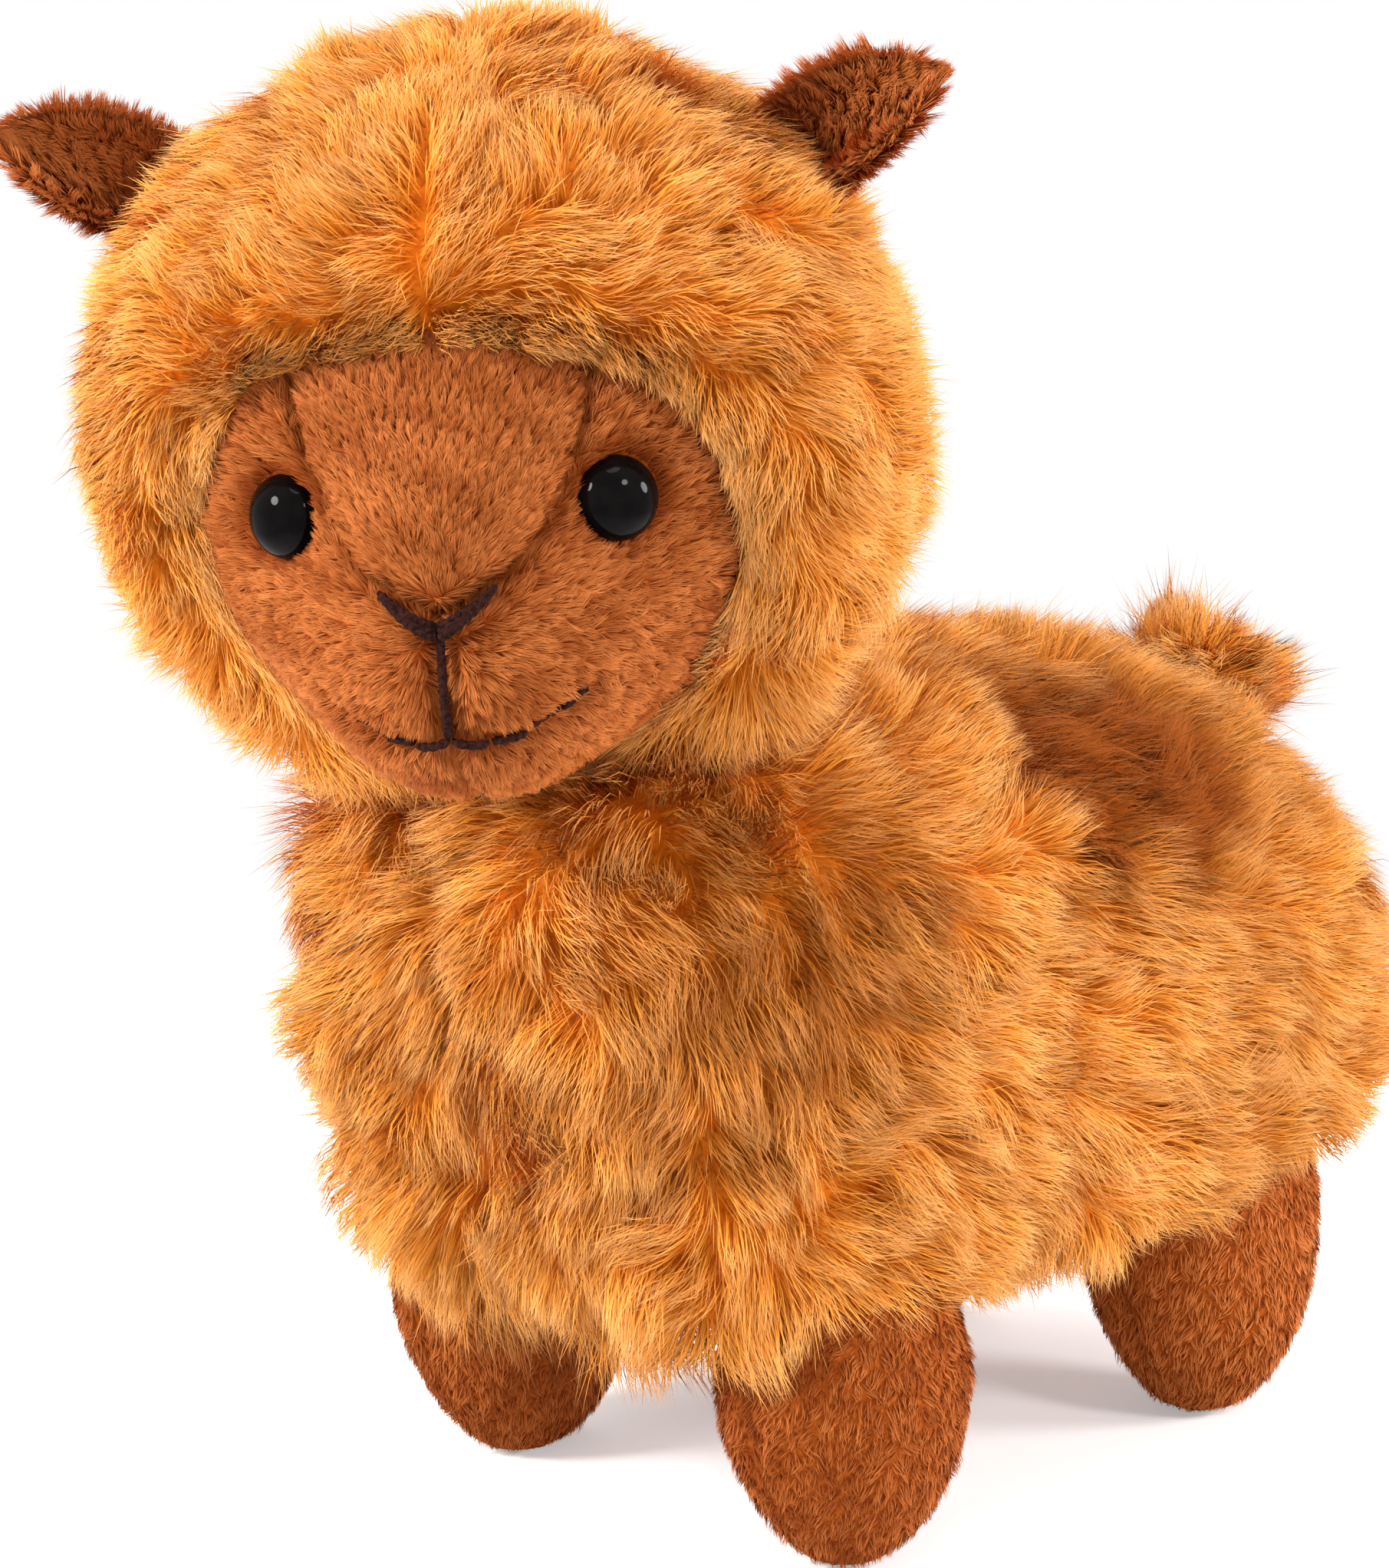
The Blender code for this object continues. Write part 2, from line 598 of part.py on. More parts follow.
def build_eye(side, word, materials, head):
    """An eye with its washer. Returns the cutters for the fabric and for the stuffing."""
    spread = math.hypot(EYE_SIDE, EYE_RISE)
    turn = math.degrees(math.atan2(EYE_RISE, EYE_SIDE))
    spread, turn = np.array(spread), np.array(turn)
    place = head_points(spread, turn, 0.0) * (side, 1, 1)
    facing = Vector(head_normal(spread, turn) * (side, 1, 1)).to_track_quat("Z", "Y").to_euler()
    seat = empty(f"{word}_eye_seat", head, place, facing)
    rise = np.linspace(0, math.pi / 2, 6)[:-1]
    dome = [(EYE_RADIUS * math.cos(a), EYE_HEIGHT * math.sin(a)) for a in rise]
    crown = [(0.2 * EYE_RADIUS, 0.99 * EYE_HEIGHT)]
    shank = [(SHANK_RADIUS, -SHANK_LENGTH), (SHANK_RADIUS, 0)]
    add_turned(f"{word}_eye", shank + dome + crown, materials["eye"], seat)
    hole = [
        (SHANK_RADIUS + GAP, -SHANK_LENGTH - GAP),
        (SHANK_RADIUS + GAP, -GAP),
        (EYE_RADIUS + GAP, -GAP),
        (EYE_RADIUS + GAP, EYE_HEIGHT + GAP),
    ]
    hole = helper(add_turned(f"{word}_eye_hole", hole, materials["pile"], seat))
    top = -PILE_THICKNESS - 2 * GAP
    washer = [(0.6 * WASHER_RADIUS, top - WASHER_THICKNESS), (WASHER_RADIUS, top - WASHER_THICKNESS)]
    washer += [(WASHER_RADIUS, top), (0.6 * WASHER_RADIUS, top)]
    washer = add_turned(f"{word}_eye_washer", washer, materials["washer"], seat)
    combine(washer, "DIFFERENCE", hole)
    room = [(WASHER_RADIUS + GAP, top - WASHER_THICKNESS - GAP), (WASHER_RADIUS + GAP, GAP)]
    room = helper(add_turned(f"{word}_washer_room", room, materials["stuffing"], seat))
    return hole, room


# Stitching

def add_stitches(name, path, material, parent):
    """A raised row of thread along a path of places, in degrees across and above the nose."""
    path = np.array(path)
    ahead = np.gradient(path, axis=0)
    ahead /= np.linalg.norm(ahead, axis=1, keepdims=True)
    aside = np.stack([-ahead[:, 1], ahead[:, 0]], axis=-1)
    nose_reach = -(MUZZLE_MIDDLE[1] - MUZZLE_HALF_SIZES[1])
    half = np.degrees(THREAD_WIDTH / 2 / nose_reach)
    share = np.array([-1, 0, 1])[None, :, None]
    places = path[:, None, :] + aside[:, None, :] * share * half
    spread = np.hypot(places[..., 0], places[..., 1])
    turn = np.degrees(np.arctan2(places[..., 1], places[..., 0]))
    crown = THREAD_THICKNESS * (1 - 0.6 * share[..., 0] ** 2)
    outer = head_points(spread, turn, GAP + crown)
    inner = head_points(spread, turn, np.full_like(spread, GAP))
    return add_panel(name, outer, inner, material, parent)


def build_stitching(materials, head):
    thread = materials["thread"]
    across = np.linspace(-NOSE_HALF_WIDTH, NOSE_HALF_WIDTH, 9)
    arms = np.stack([across, NOSE_RISE * (np.abs(across) / NOSE_HALF_WIDTH) ** 1.2], axis=-1)
    add_stitches("nose_stitching", arms, thread, head)
    half = np.degrees(THREAD_WIDTH / 2 / SKULL[0])
    down = np.linspace(-1.5 * half, -MOUTH_DROP + 1.5 * half, 6)
    add_stitches("lip_stitching", np.stack([0 * down, down], axis=-1), thread, head)
    across = np.linspace(-MOUTH_HALF_WIDTH, MOUTH_HALF_WIDTH, 15)
    sag = MOUTH_SAG * np.sin(math.pi * np.abs(across) / MOUTH_HALF_WIDTH)
    add_stitches("mouth_stitching", np.stack([across, -MOUTH_DROP - sag], axis=-1), thread, head)


# Ears

def ear_points(side, along, across, offset, spare=0.0):
    """Points of a cupped ear: along runs from root to tip, and offset is towards its back."""
    root, tip = Vector(EAR_ROOT), Vector(EAR_TIP)
    axis = (tip - root).normalized()
    aside = axis.cross(Vector(EAR_FACING)).normalized()
    facing = aside.cross(axis)
    along, across = np.broadcast_arrays(along, across)
    reach = np.clip(along, 0, 1)
    belly = EAR_ROOT_WIDTH + (1 - EAR_ROOT_WIDTH) * np.sin(math.pi * reach**0.8)
    taper = np.clip((along - EAR_TIP_START) / (1.02 - EAR_TIP_START), 0, 0.985)
    half_width = EAR_HALF_WIDTH * belly * np.sqrt(1 - taper**EAR_TIP_SHAPE) + spare
    cup = EAR_CUP * (1 - EAR_UNFOLDING * reach)
    bend = half_width / cup
    angle = across * cup
    away = np.sin(angle) * (bend + offset)
    back = (1 - np.cos(angle)) * bend - np.cos(angle) * offset
    length = (tip - root).length
    points = (
        np.array(root)
        + (along * length)[..., None] * np.array(axis)
        + away[..., None] * np.array(aside)
        + back[..., None] * np.array(facing)
    )
    return points * (side, 1, 1)


def build_ear(side, word, materials, head):
    """The two layers of an ear. Returns the cutter for its slot in the hood."""
    along = np.linspace(0, 1, 8)[:, None]
    across = np.linspace(-1, 1, 7)[None, :]
    layer = PILE_THICKNESS / 2
    for name, inner, outer in (("front", -layer - GAP / 2, -GAP / 2), ("back", GAP / 2, layer + GAP / 2)):
        grids = [ear_points(side, along, across, offset) for offset in (outer, inner)]
        add_panel(f"{word}_ear_{name}", *grids, materials["pile"], head)
    along = np.linspace(-0.02, 1, 8)[:, None]
    room = layer + 1.5 * GAP
    grids = [ear_points(side, along, across, offset, spare=GAP) for offset in (room, -room)]
    return helper(add_panel(f"{word}_ear_slot", *grids, materials["pile"], head))


# Assembly

def build_neck(name, radius, spare, material, toy):
    """The neck, from inside the head to inside the chest."""
    bottom, top = Vector(NECK_BOTTOM), Vector(NECK_TOP)
    length = (top - bottom).length + spare
    facing = (top - bottom).to_track_quat("Z", "Y").to_euler()
    seat = empty(f"{name}_seat", toy, bottom, facing)
    return add_turned(name, [(radius, -spare), (radius, length)], material, seat, steps=24)


def build_tail(materials, toy):
    rise = np.linspace(-math.pi / 2, math.pi / 2, 9)[1:-1, None]
    turn = circle_steps(14)[None, :]
    shape = [np.cos(rise) * np.cos(turn), np.cos(rise) * np.sin(turn), np.sin(rise) + 0 * turn]
    points = np.stack([axis * half for axis, half in zip(shape, TAIL_HALF_SIZES)], axis=-1)
    seat = empty("tail_seat", toy, (0, TAIL_BACK, TAIL_HEIGHT), (TAIL_TILT, 0, 0))
    return add_rings("tail", points, materials["fur"], seat)


def rest_on_origin(toy):
    """Moves the toy so that the middle of its box is over the origin and its feet are on z = 0."""
    graph = bpy.context.evaluated_depsgraph_get()
    corners = []
    for obj in bpy.context.scene.objects:
        if obj.type == "MESH" and not obj.hide_render:
            done = obj.evaluated_get(graph)
            places = np.array([done.matrix_world @ vertex.co for vertex in done.data.vertices])
            corners += [places.min(axis=0), places.max(axis=0)]
    low, high = np.min(corners, axis=0), np.max(corners, axis=0)
    toy.location = (-(low[0] + high[0]) / 2, -(low[1] + high[1]) / 2, -low[2])


def main():
    clear_scene()
    materials = make_materials()
    toy = empty("toy")
    head = empty("head", toy, (0, -HEAD_FORWARD, HEAD_HEIGHT), (0, HEAD_ROLL, HEAD_YAW))

    sides = [
        build_side_panel(1, "body_left_panel", materials, toy),
        build_side_panel(-1, "body_right_panel", materials, toy),
    ]
    belly = build_belly_panel(materials, toy)
    core = build_body_ball("body_stuffing", FUR_THICKNESS + GAP, materials["stuffing"], toy)
    tail = build_tail(materials, toy)

    openings = []
    for end, (x, y) in (("front", FRONT_LEGS), ("rear", REAR_LEGS)):
        openings.append(build_leg(f"{end}_left_leg", x, y, materials, toy))
        openings.append(build_leg(f"{end}_right_leg", -x, y, materials, toy))

    hoods = [
        build_hood_panel(1, "hood_left_panel", materials, head),
        build_hood_panel(-1, "hood_right_panel", materials, head),
    ]
    face = build_face(materials, head)
    build_stitching(materials, head)
    padding = build_head_ball(
        "head_stuffing",
        lambda spread, turn: head_points(spread, turn, -PILE_THICKNESS - GAP),
        materials["stuffing"],
        head,
    )
    room = helper(
        build_head_ball(
            "head_room",
            lambda spread, turn: fur_points(spread, turn, grow=3 * GAP, fringe=False),
            materials["fur"],
            head,
        )
    )
    for side, word in ((1, "left"), (-1, "right")):
        hole, washer_room = build_eye(side, word, materials, head)
        for piece in face:
            combine(piece, "DIFFERENCE", hole)
        combine(padding, "DIFFERENCE", hole, washer_room)
        slot = build_ear(side, word, materials, head)
        for piece in hoods:
            combine(piece, "DIFFERENCE", slot)
        combine(padding, "DIFFERENCE", slot)

    neck = helper(build_neck("neck", NECK_RADIUS, 0.0, materials["stuffing"], toy))
    neck_room = helper(build_neck("neck_room", NECK_RADIUS + GAP, GAP, materials["fur"], toy))
    combine(padding, "UNION", neck)
    for piece in hoods:
        combine(piece, "DIFFERENCE", neck_room)
    for piece in sides:
        combine(piece, "DIFFERENCE", room, neck_room, *openings)
    combine(belly, "DIFFERENCE", *openings)
    combine(core, "DIFFERENCE", room, neck_room)
    skin = build_body_ball("body_room", -3 * GAP, materials["fur"], toy, tufted=True)
    combine(tail, "DIFFERENCE", helper(skin))
    rest_on_origin(toy)


main()
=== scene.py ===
"""Looks of the stuffed toy llama: brushed fur, short pile, stitches, eyes, light and camera.

Fur and pile are ribbons of real mesh, grown from a backing that lies under the CAD surface and
drawn together into locks. Units are metres, +Z is up and the body faces -Y, as in the CAD. On the
face and the head, a value without a unit is in degrees, from the place that the nose points to.
"""

import math

import bpy
import numpy as np
from mathutils import Euler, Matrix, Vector
from mathutils.kdtree import KDTree


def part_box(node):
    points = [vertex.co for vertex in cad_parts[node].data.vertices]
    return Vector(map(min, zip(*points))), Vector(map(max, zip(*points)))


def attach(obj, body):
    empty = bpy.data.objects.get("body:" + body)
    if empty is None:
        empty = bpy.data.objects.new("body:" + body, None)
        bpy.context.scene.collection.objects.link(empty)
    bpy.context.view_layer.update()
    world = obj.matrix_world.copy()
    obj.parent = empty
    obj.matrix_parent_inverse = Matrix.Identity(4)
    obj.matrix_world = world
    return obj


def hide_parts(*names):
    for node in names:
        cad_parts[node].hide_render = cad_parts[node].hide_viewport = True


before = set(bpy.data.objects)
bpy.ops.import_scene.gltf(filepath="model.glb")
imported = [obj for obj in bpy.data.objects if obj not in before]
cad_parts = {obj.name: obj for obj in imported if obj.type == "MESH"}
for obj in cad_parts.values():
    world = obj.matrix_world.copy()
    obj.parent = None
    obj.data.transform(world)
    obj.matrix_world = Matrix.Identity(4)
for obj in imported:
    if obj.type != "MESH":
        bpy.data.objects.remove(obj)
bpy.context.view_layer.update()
random = np.random.default_rng(11)

MM = 0.001
DEG = math.pi / 180

# Sizes and shapes of the solids, as in the CAD

FUR_THICKNESS = 10.5 * MM
PILE_THICKNESS = 2.6 * MM
BODY_HALF_WIDTH = 48.5 * MM
BODY_HALF_LENGTH = 82.5 * MM
BODY_BOTTOM_FRONT = 22 * MM
BODY_BOTTOM_REAR = 36 * MM
BODY_WAIST = 56 * MM
BODY_TOP_FRONT = 121 * MM
BODY_TOP_REAR = 108 * MM
BODY_LEAN = 0.22
PLAN_ROUNDNESS = 0.60
CHEST_ROUNDNESS = 0.58
RUMP_ROUNDNESS = 0.90
BOTTOM_ROUNDNESS = 0.42
BELLY_HALF_ANGLE = 40 * DEG
BELLY_END = 30 * DEG
TUFT_HEIGHT = 1.3 * MM
TUFT_SPACING = 17 * MM
CREASE_DEPTH = 3.4 * MM
PARTING_SPREAD = 8 * MM
PARTING_START = 50 * MM
SHOULDER_CREASE = 19 * MM
SHOULDER_SPREAD = 10 * MM
SHOULDER_TOP = 95 * MM
SADDLE_SIDE = 32 * MM
SADDLE_SPREAD = 15 * MM
SADDLE_BOTTOM = 74 * MM
CREASE_FADE = 18 * MM
FRONT_LEGS = (30.5 * MM, -41.5 * MM)
REAR_LEGS = (27.5 * MM, 36 * MM)
LEG_HALF_WIDTH = 15.8 * MM
LEG_HALF_DEPTH = 19 * MM
LEG_TOE_HEIGHT = 30 * MM
LEG_TOE_SLOPE = 0.5
FOOT_FRONT_SHAPE = (2.2, 1.7)
FOOT_SIDE_SHAPE = (2.6, 2.2)
SOLE_FLAT = 1.3 * MM
HEAD_FORWARD = 72 * MM
HEAD_HEIGHT = 148.5 * MM
HEAD_YAW = 36 * DEG
HEAD_ROLL = -4.5 * DEG
SKULL = (42.5 * MM, 42 * MM, 40.5 * MM)
NOSE_PITCH = -17.5 * DEG
BRIDGE_SPREAD = 12.0
BRIDGE_RISE = 14.0
SOCKET_SPREAD = 9.0
FACE_SIDE = 53.0
FACE_TOP = 37.0
FACE_BOTTOM = 64.0
FRINGE_RISE = 14.0
FRINGE_DEPTH = 0.6
CHIN_DEPTH = 0.1
GUSSET_HALF_WIDTH = 32.0
GUSSET_FLARE = 0.95
EYE_SIDE = 29.3
EYE_RISE = 9.5
EYE_HEIGHT = 4.2 * MM
NOSE_HALF_WIDTH = 8.2
NOSE_RISE = 3.3
MOUTH_HALF_WIDTH = 18.5
MOUTH_SAG = 1.6
EAR_ROOT = (34.5 * MM, 8 * MM, 25.5 * MM)
EAR_UNFOLDING = 0.35
EAR_FACING = (0.15, -0.85, 0.5)
EAR_ROOT_WIDTH = 0.72
EAR_TIP_START = 0.55
EAR_TIP_SHAPE = 2.6
TAIL_HALF_SIZES = (13 * MM, 17 * MM, 12 * MM)
TAIL_TILT = -22 * DEG

# Sizes that differ from the solids, because pile and fur stand out from them

MUZZLE_HEIGHT = 15 * MM  # the muzzle swells out more softly
MUZZLE_RISE = -19.0
MUZZLE_SPREADS = (26.0, 25.0)  # across and upwards
BRIDGE_BULGE = 4.2 * MM
SOCKET_DEPTH = 3 * MM
EYE_RADIUS = 5.35 * MM
MOUTH_DROP = 14.8
EAR_TIP = (56.5 * MM, -6.5 * MM, 39 * MM)
EAR_HALF_WIDTH = 9.0 * MM  # the ears are narrower and more cupped
EAR_CUP = 98 * DEG
TAIL_BACK = 66 * MM
TAIL_HEIGHT = 96 * MM

# Camera and light

CAMERA_AZIMUTH = 44  # degrees, from in front of the toy to its left
CAMERA_PITCH = 12.7  # degrees
CAMERA_DISTANCE = 650 * MM
CAMERA_TARGET = (0, -37.6 * MM, 97.7 * MM)  # from the middle of the four feet
CAMERA_LENS = 114.48
SENSOR = 36.0
LIGHT_DISTANCE = 1.0
LIGHT_MIDDLE = (0, 0, 100 * MM)  # which the lights stand around
LIGHT_TARGET = (0, 0, 90 * MM)
LIGHTS = {  # azimuth and elevation in degrees, diameter in metres and power in watts
    "left_light": (-20, 28, 0.30, 12.5),
    "right_light": (128, 17, 0.30, 8.0),
    "front_light": (86, 34, 0.20, 4.0),
    "back_light": (215, 55, 0.6, 5.0),
    "top_light": (60, 78, 0.5, 4.0),
}
AMBIENT = 0.42
FLOOR_HALF = 3.0
FLOOR_GLOW = 0.35  # lifts the lit floor to white around the toy
SHADOW_REACH = (0.16, 0.34)  # distances over which the floor's shadow fades to white
WHITE = (1, 1, 1, 1)

# Fur and pile, in the sizes of the real thing

FUR_SKIN = 4.4 * MM  # the backing's depth below the CAD surface
SKIN_RELIEF = 0.5 * MM
SKIN_EDGE = 8.0  # degrees over which the hood's backing rises from the face
SKIN_START = 2.4 * MM  # how deep it starts, under the face's edge
STRAND_WIDTH = 0.18 * MM
LOCK_SPACING = 6.5 * MM
LOCK_TRIES = 40000  # strands that may be tried as the middle of a lock
PILE_LENGTH = 2.3 * MM
PILE_WIDTH = 0.25 * MM

BODY_STRANDS = 52000  # on each side
BELLY_STRANDS = 8000
HOOD_STRANDS = 50000  # on each side
EDGE_SHARE = 0.06  # of the hood's strands, which stand in the seam with the face
TAIL_STRANDS = 9000
CHEEK_HAIRS = 34000
CENTRE_HAIRS = 30000
EAR_HAIRS = 9000
LEG_HAIRS = 14000

SIDES = ((1, "left"), (-1, "right"))


# Small helpers

def signed_power(value, power):
    return np.sign(value) * np.abs(value) ** power


def smooth_step(value):
    value = np.clip(value, 0, 1)
    return value * value * (3 - 2 * value)


def eased(value, start, length):
    """Rises from 0 at start to 1 at start + length, which lies below start if length is negative."""
    return smooth_step((value - start) / length)


def bell(distance, spread):
    return np.exp(-((distance / spread) ** 2))


def unit(vectors):
    return vectors / np.maximum(np.linalg.norm(vectors, axis=-1, keepdims=True), 1e-12)


def dot(a, b):
    return (a * b).sum(axis=-1, keepdims=True)


def waves(points, size, seed):
    """Smooth noise from -1 to 1, with bumps about size across."""
    turn = np.random.default_rng(seed)
    total = 0
    for _ in range(6):
        way = unit(turn.normal(size=3)) * turn.uniform(0.7, 1.4)
        total = total + np.sin(points @ way * (math.pi / size) + turn.uniform(0, 2 * math.pi))
    return total / 2.6


def mix(a, b, share):
    return a + (b - a) * share


def tufts(points):
    """How far the fur's tufts stand out at each point, from -1 to 1, as in the CAD."""
    x, y, z = (points[..., i] / TUFT_SPACING * 2 * math.pi for i in range(3))
    x = np.abs(x)
    first = np.sin(x + 1.7 * np.sin(0.6 * y)) * np.sin(0.9 * y + 1.3 * np.sin(0.7 * z))
    second = np.sin(0.8 * z + 1.1 * np.sin(0.5 * x + 0.4 * y))
    return 0.6 * first + 0.4 * second


# Where the toy and its head stand in the CAD's frame

def toy_place():
    left_low, left_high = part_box("front_left_leg_outer_panel")
    right_low, right_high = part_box("front_right_leg_outer_panel")
    middle = (left_high.x + right_low.x) / 2
    along = (left_low.y + left_high.y) / 2 - FRONT_LEGS[1]
    return np.array([middle, along, 0.0])


TOY = toy_place()
HEAD_TURN = np.array(Euler((0, HEAD_ROLL, HEAD_YAW), "XYZ").to_matrix())
HEAD_MIDDLE = TOY + np.array([0, -HEAD_FORWARD, HEAD_HEIGHT])


def from_head(points):
    return points @ HEAD_TURN.T + HEAD_MIDDLE


def to_head(points):
    return (points - HEAD_MIDDLE) @ HEAD_TURN


# Body, legs and head, as surfaces of two steps and a depth that is positive outwards

def body_between(front, rear, reach):
    """A value that runs from the chest's to the rump's, where reach runs from -1 to 1."""
    return front + (rear - front) * (reach + 1) / 2


def saddle_hollow(points):
    """The hollow under the ridge of the back, from 0 to 1."""
    x, y, z = np.moveaxis(points, -1, 0)
    saddle = bell(np.abs(x) - SADDLE_SIDE, SADDLE_SPREAD) * eased(z, SADDLE_BOTTOM, CREASE_FADE)
    return saddle * eased(y, -SHOULDER_CREASE, CREASE_FADE)


def body_creases(points):
    """How deep the fur parts at each point, from 0 to 1: on the chest, the shoulder and the back."""
    x, y, z = np.moveaxis(points, -1, 0)
    parting = bell(x, PARTING_SPREAD) * eased(y, -PARTING_START, -CREASE_FADE)
    shoulder = bell(y + SHOULDER_CREASE, SHOULDER_SPREAD) * eased(z, SHOULDER_TOP, -CREASE_FADE)
    return np.maximum(np.maximum(parting, shoulder), saddle_hollow(points))


def body_section(reach, upper, depth):
    """The section at reach, from -1 at the chest to 1 at the rump.

    Gives how far it stands up or down from the waist, how round it is, and its lowest height.
    """
    top = body_between(BODY_TOP_FRONT, BODY_TOP_REAR, reach)
    bottom = body_between(BODY_BOTTOM_FRONT, BODY_BOTTOM_REAR, reach)
    power = np.where(upper, body_between(CHEST_ROUNDNESS, RUMP_ROUNDNESS, reach), BOTTOM_ROUNDNESS)
    return np.where(upper, top - BODY_WAIST, BODY_WAIST - bottom) + depth, power, bottom


def body_points(along, around, depth=0.0):
    along, around = np.broadcast_arrays(along, around)
    ring = np.sin(along) ** PLAN_ROUNDNESS
    reach = -signed_power(np.cos(along), PLAN_ROUNDNESS)
    half_height, power, bottom = body_section(reach, np.sin(around) > 0, depth)
    x = (BODY_HALF_WIDTH + depth) * ring * signed_power(np.cos(around), power)
    z = BODY_WAIST + half_height * ring * signed_power(np.sin(around), power)
    y = reach * (BODY_HALF_LENGTH + depth) - BODY_LEAN * (z - BODY_WAIST)
    points = np.stack([x, y, z], axis=-1)
    away = unit(np.stack([x, reach * BODY_HALF_LENGTH, z - BODY_WAIST], axis=-1))
    relief = TUFT_HEIGHT * tufts(points) - CREASE_DEPTH * body_creases(points)
    return points + away * (relief * eased(z, bottom, 6 * MM))[..., None]


def belly_edge(along):
    """How far up the belly's gusset goes, as an angle around the body."""
    share = np.clip((along - BELLY_END) / (math.pi - 2 * BELLY_END), 0, 1)
    return BELLY_HALF_ANGLE * np.sin(math.pi * share) ** 0.6


def inside_body(points, depth):
    """True for places that lie inside the body's surface at a depth."""
    x, y, z = (points - TOY).T
    reach = (y + BODY_LEAN * (z - BODY_WAIST)) / (BODY_HALF_LENGTH + depth)
    ring = (1 - np.clip(np.abs(reach), 0, 1) ** (2 / PLAN_ROUNDNESS)) ** (PLAN_ROUNDNESS / 2)
    half_height, power, _ = body_section(np.clip(reach, -1, 1), z > BODY_WAIST, depth)
    ring = np.maximum(ring, 1e-6)
    across = np.abs(x) / ((BODY_HALF_WIDTH + depth) * ring)
    rise = np.abs(z - BODY_WAIST) / (half_height * ring)
    return (np.abs(reach) < 1) & (across ** (2 / power) + rise ** (2 / power) < 1)


def leg_points(height, around, depth=0.0):
    height, around = np.broadcast_arrays(height, around)
    fall = 1 - np.clip((height + SOLE_FLAT) / LEG_TOE_HEIGHT, 0, 1)
    width, depth_share = (
        (1 - fall**power) ** (1 / root) for power, root in (FOOT_FRONT_SHAPE, FOOT_SIDE_SHAPE)
    )
    x = (LEG_HALF_WIDTH + depth) * width * np.cos(around)
    y = (LEG_HALF_DEPTH + depth) * depth_share * np.sin(around)
    y = y * (1 - LEG_TOE_SLOPE * fall**2 * (y < 0))
    return np.stack([x, y, np.maximum(height, 0)], axis=-1)


NOSE_UP = (0, math.sin(NOSE_PITCH), math.cos(NOSE_PITCH))
NOSE_AHEAD = (0, -math.cos(NOSE_PITCH), math.sin(NOSE_PITCH))
NOSE_FRAME = np.array([(1, 0, 0), NOSE_UP, NOSE_AHEAD])


def head_direction(spread, turn):
    """The way to a place that lies spread degrees from the nose's, turned from the toy's left."""
    spread, turn = np.radians(spread), np.radians(turn)
    ways = [np.sin(spread) * np.cos(turn), np.sin(spread) * np.sin(turn), np.cos(spread)]
    return np.stack(ways, axis=-1) @ NOSE_FRAME


def head_angles(points):
    """Spread and turn of places in the head's frame."""
    away = unit(points)
    spread = np.degrees(np.arccos(np.clip(away @ NOSE_AHEAD, -1, 1)))
    return spread, np.degrees(np.arctan2(away @ NOSE_UP, away[..., 0]))


def across_and_above(spread, turn):
    """Degrees to the left of the nose's place and above it."""
    return spread * np.cos(np.radians(turn)), spread * np.sin(np.radians(turn))


def skull_radius(spread, turn):
    spread, turn = np.broadcast_arrays(spread, turn)
    away = head_direction(spread, turn)
    radius = 1 / np.sqrt(sum((away[..., i] / SKULL[i]) ** 2 for i in range(3)))
    across, rise = across_and_above(spread, turn)
    muzzle = bell(across, MUZZLE_SPREADS[0]) * bell(rise - MUZZLE_RISE, MUZZLE_SPREADS[1])
    bridge = bell(across, BRIDGE_SPREAD) * bell(rise - BRIDGE_RISE, BRIDGE_RISE)
    socket = bell(np.hypot(np.abs(across) - EYE_SIDE, rise - EYE_RISE), SOCKET_SPREAD)
    return radius + MUZZLE_HEIGHT * muzzle + BRIDGE_BULGE * bridge - SOCKET_DEPTH * socket


def face_edge(turn):
    """The spread at which the face ends and the hood begins."""
    turn = np.radians(turn)
    tall = np.where(np.sin(turn) > 0, FACE_TOP, FACE_BOTTOM)
    return 1 / np.sqrt((np.cos(turn) / FACE_SIDE) ** 2 + (np.sin(turn) / tall) ** 2)


def head_points(spread, turn, depth=0.0):
    spread, turn = np.broadcast_arrays(spread, turn)
    return head_direction(spread, turn) * (skull_radius(spread, turn) + depth)[..., None]


def fur_depth(spread, turn):
    """How far the hood's fur stands out from the fabric, as in the CAD."""
    full = smooth_step((spread - face_edge(turn)) / FRINGE_RISE)
    above = smooth_step(0.8 + np.sin(np.radians(turn)))
    at_edge = CHIN_DEPTH + (FRINGE_DEPTH - CHIN_DEPTH) * above
    return FUR_THICKNESS * (at_edge + (1 - at_edge) * full)


def inside_head(points, depth):
    """True for places that lie inside the head's fabric grown by a depth."""
    local = to_head(points)
    spread, turn = head_angles(local)
    return np.linalg.norm(local, axis=-1) < skull_radius(spread, turn) + depth


def gusset_turn(spread):
    """The turn of the seam between the face's centre piece and a cheek."""
    half_width = GUSSET_HALF_WIDTH * np.tanh(GUSSET_FLARE * spread / GUSSET_HALF_WIDTH)
    return np.degrees(np.arccos(half_width / spread))


def seam_distance(spread, turn):
    """Distance from the nearest seam of the face, with turn from -90 to 90."""
    reach = skull_radius(spread, turn) * np.sin(np.radians(spread))
    beside = np.abs(turn - gusset_turn(np.maximum(spread, 0.5))) * DEG * reach
    below = np.where(turn < 0, np.abs(np.cos(np.radians(turn))) * reach, 1.0)
    return np.minimum(beside, below)


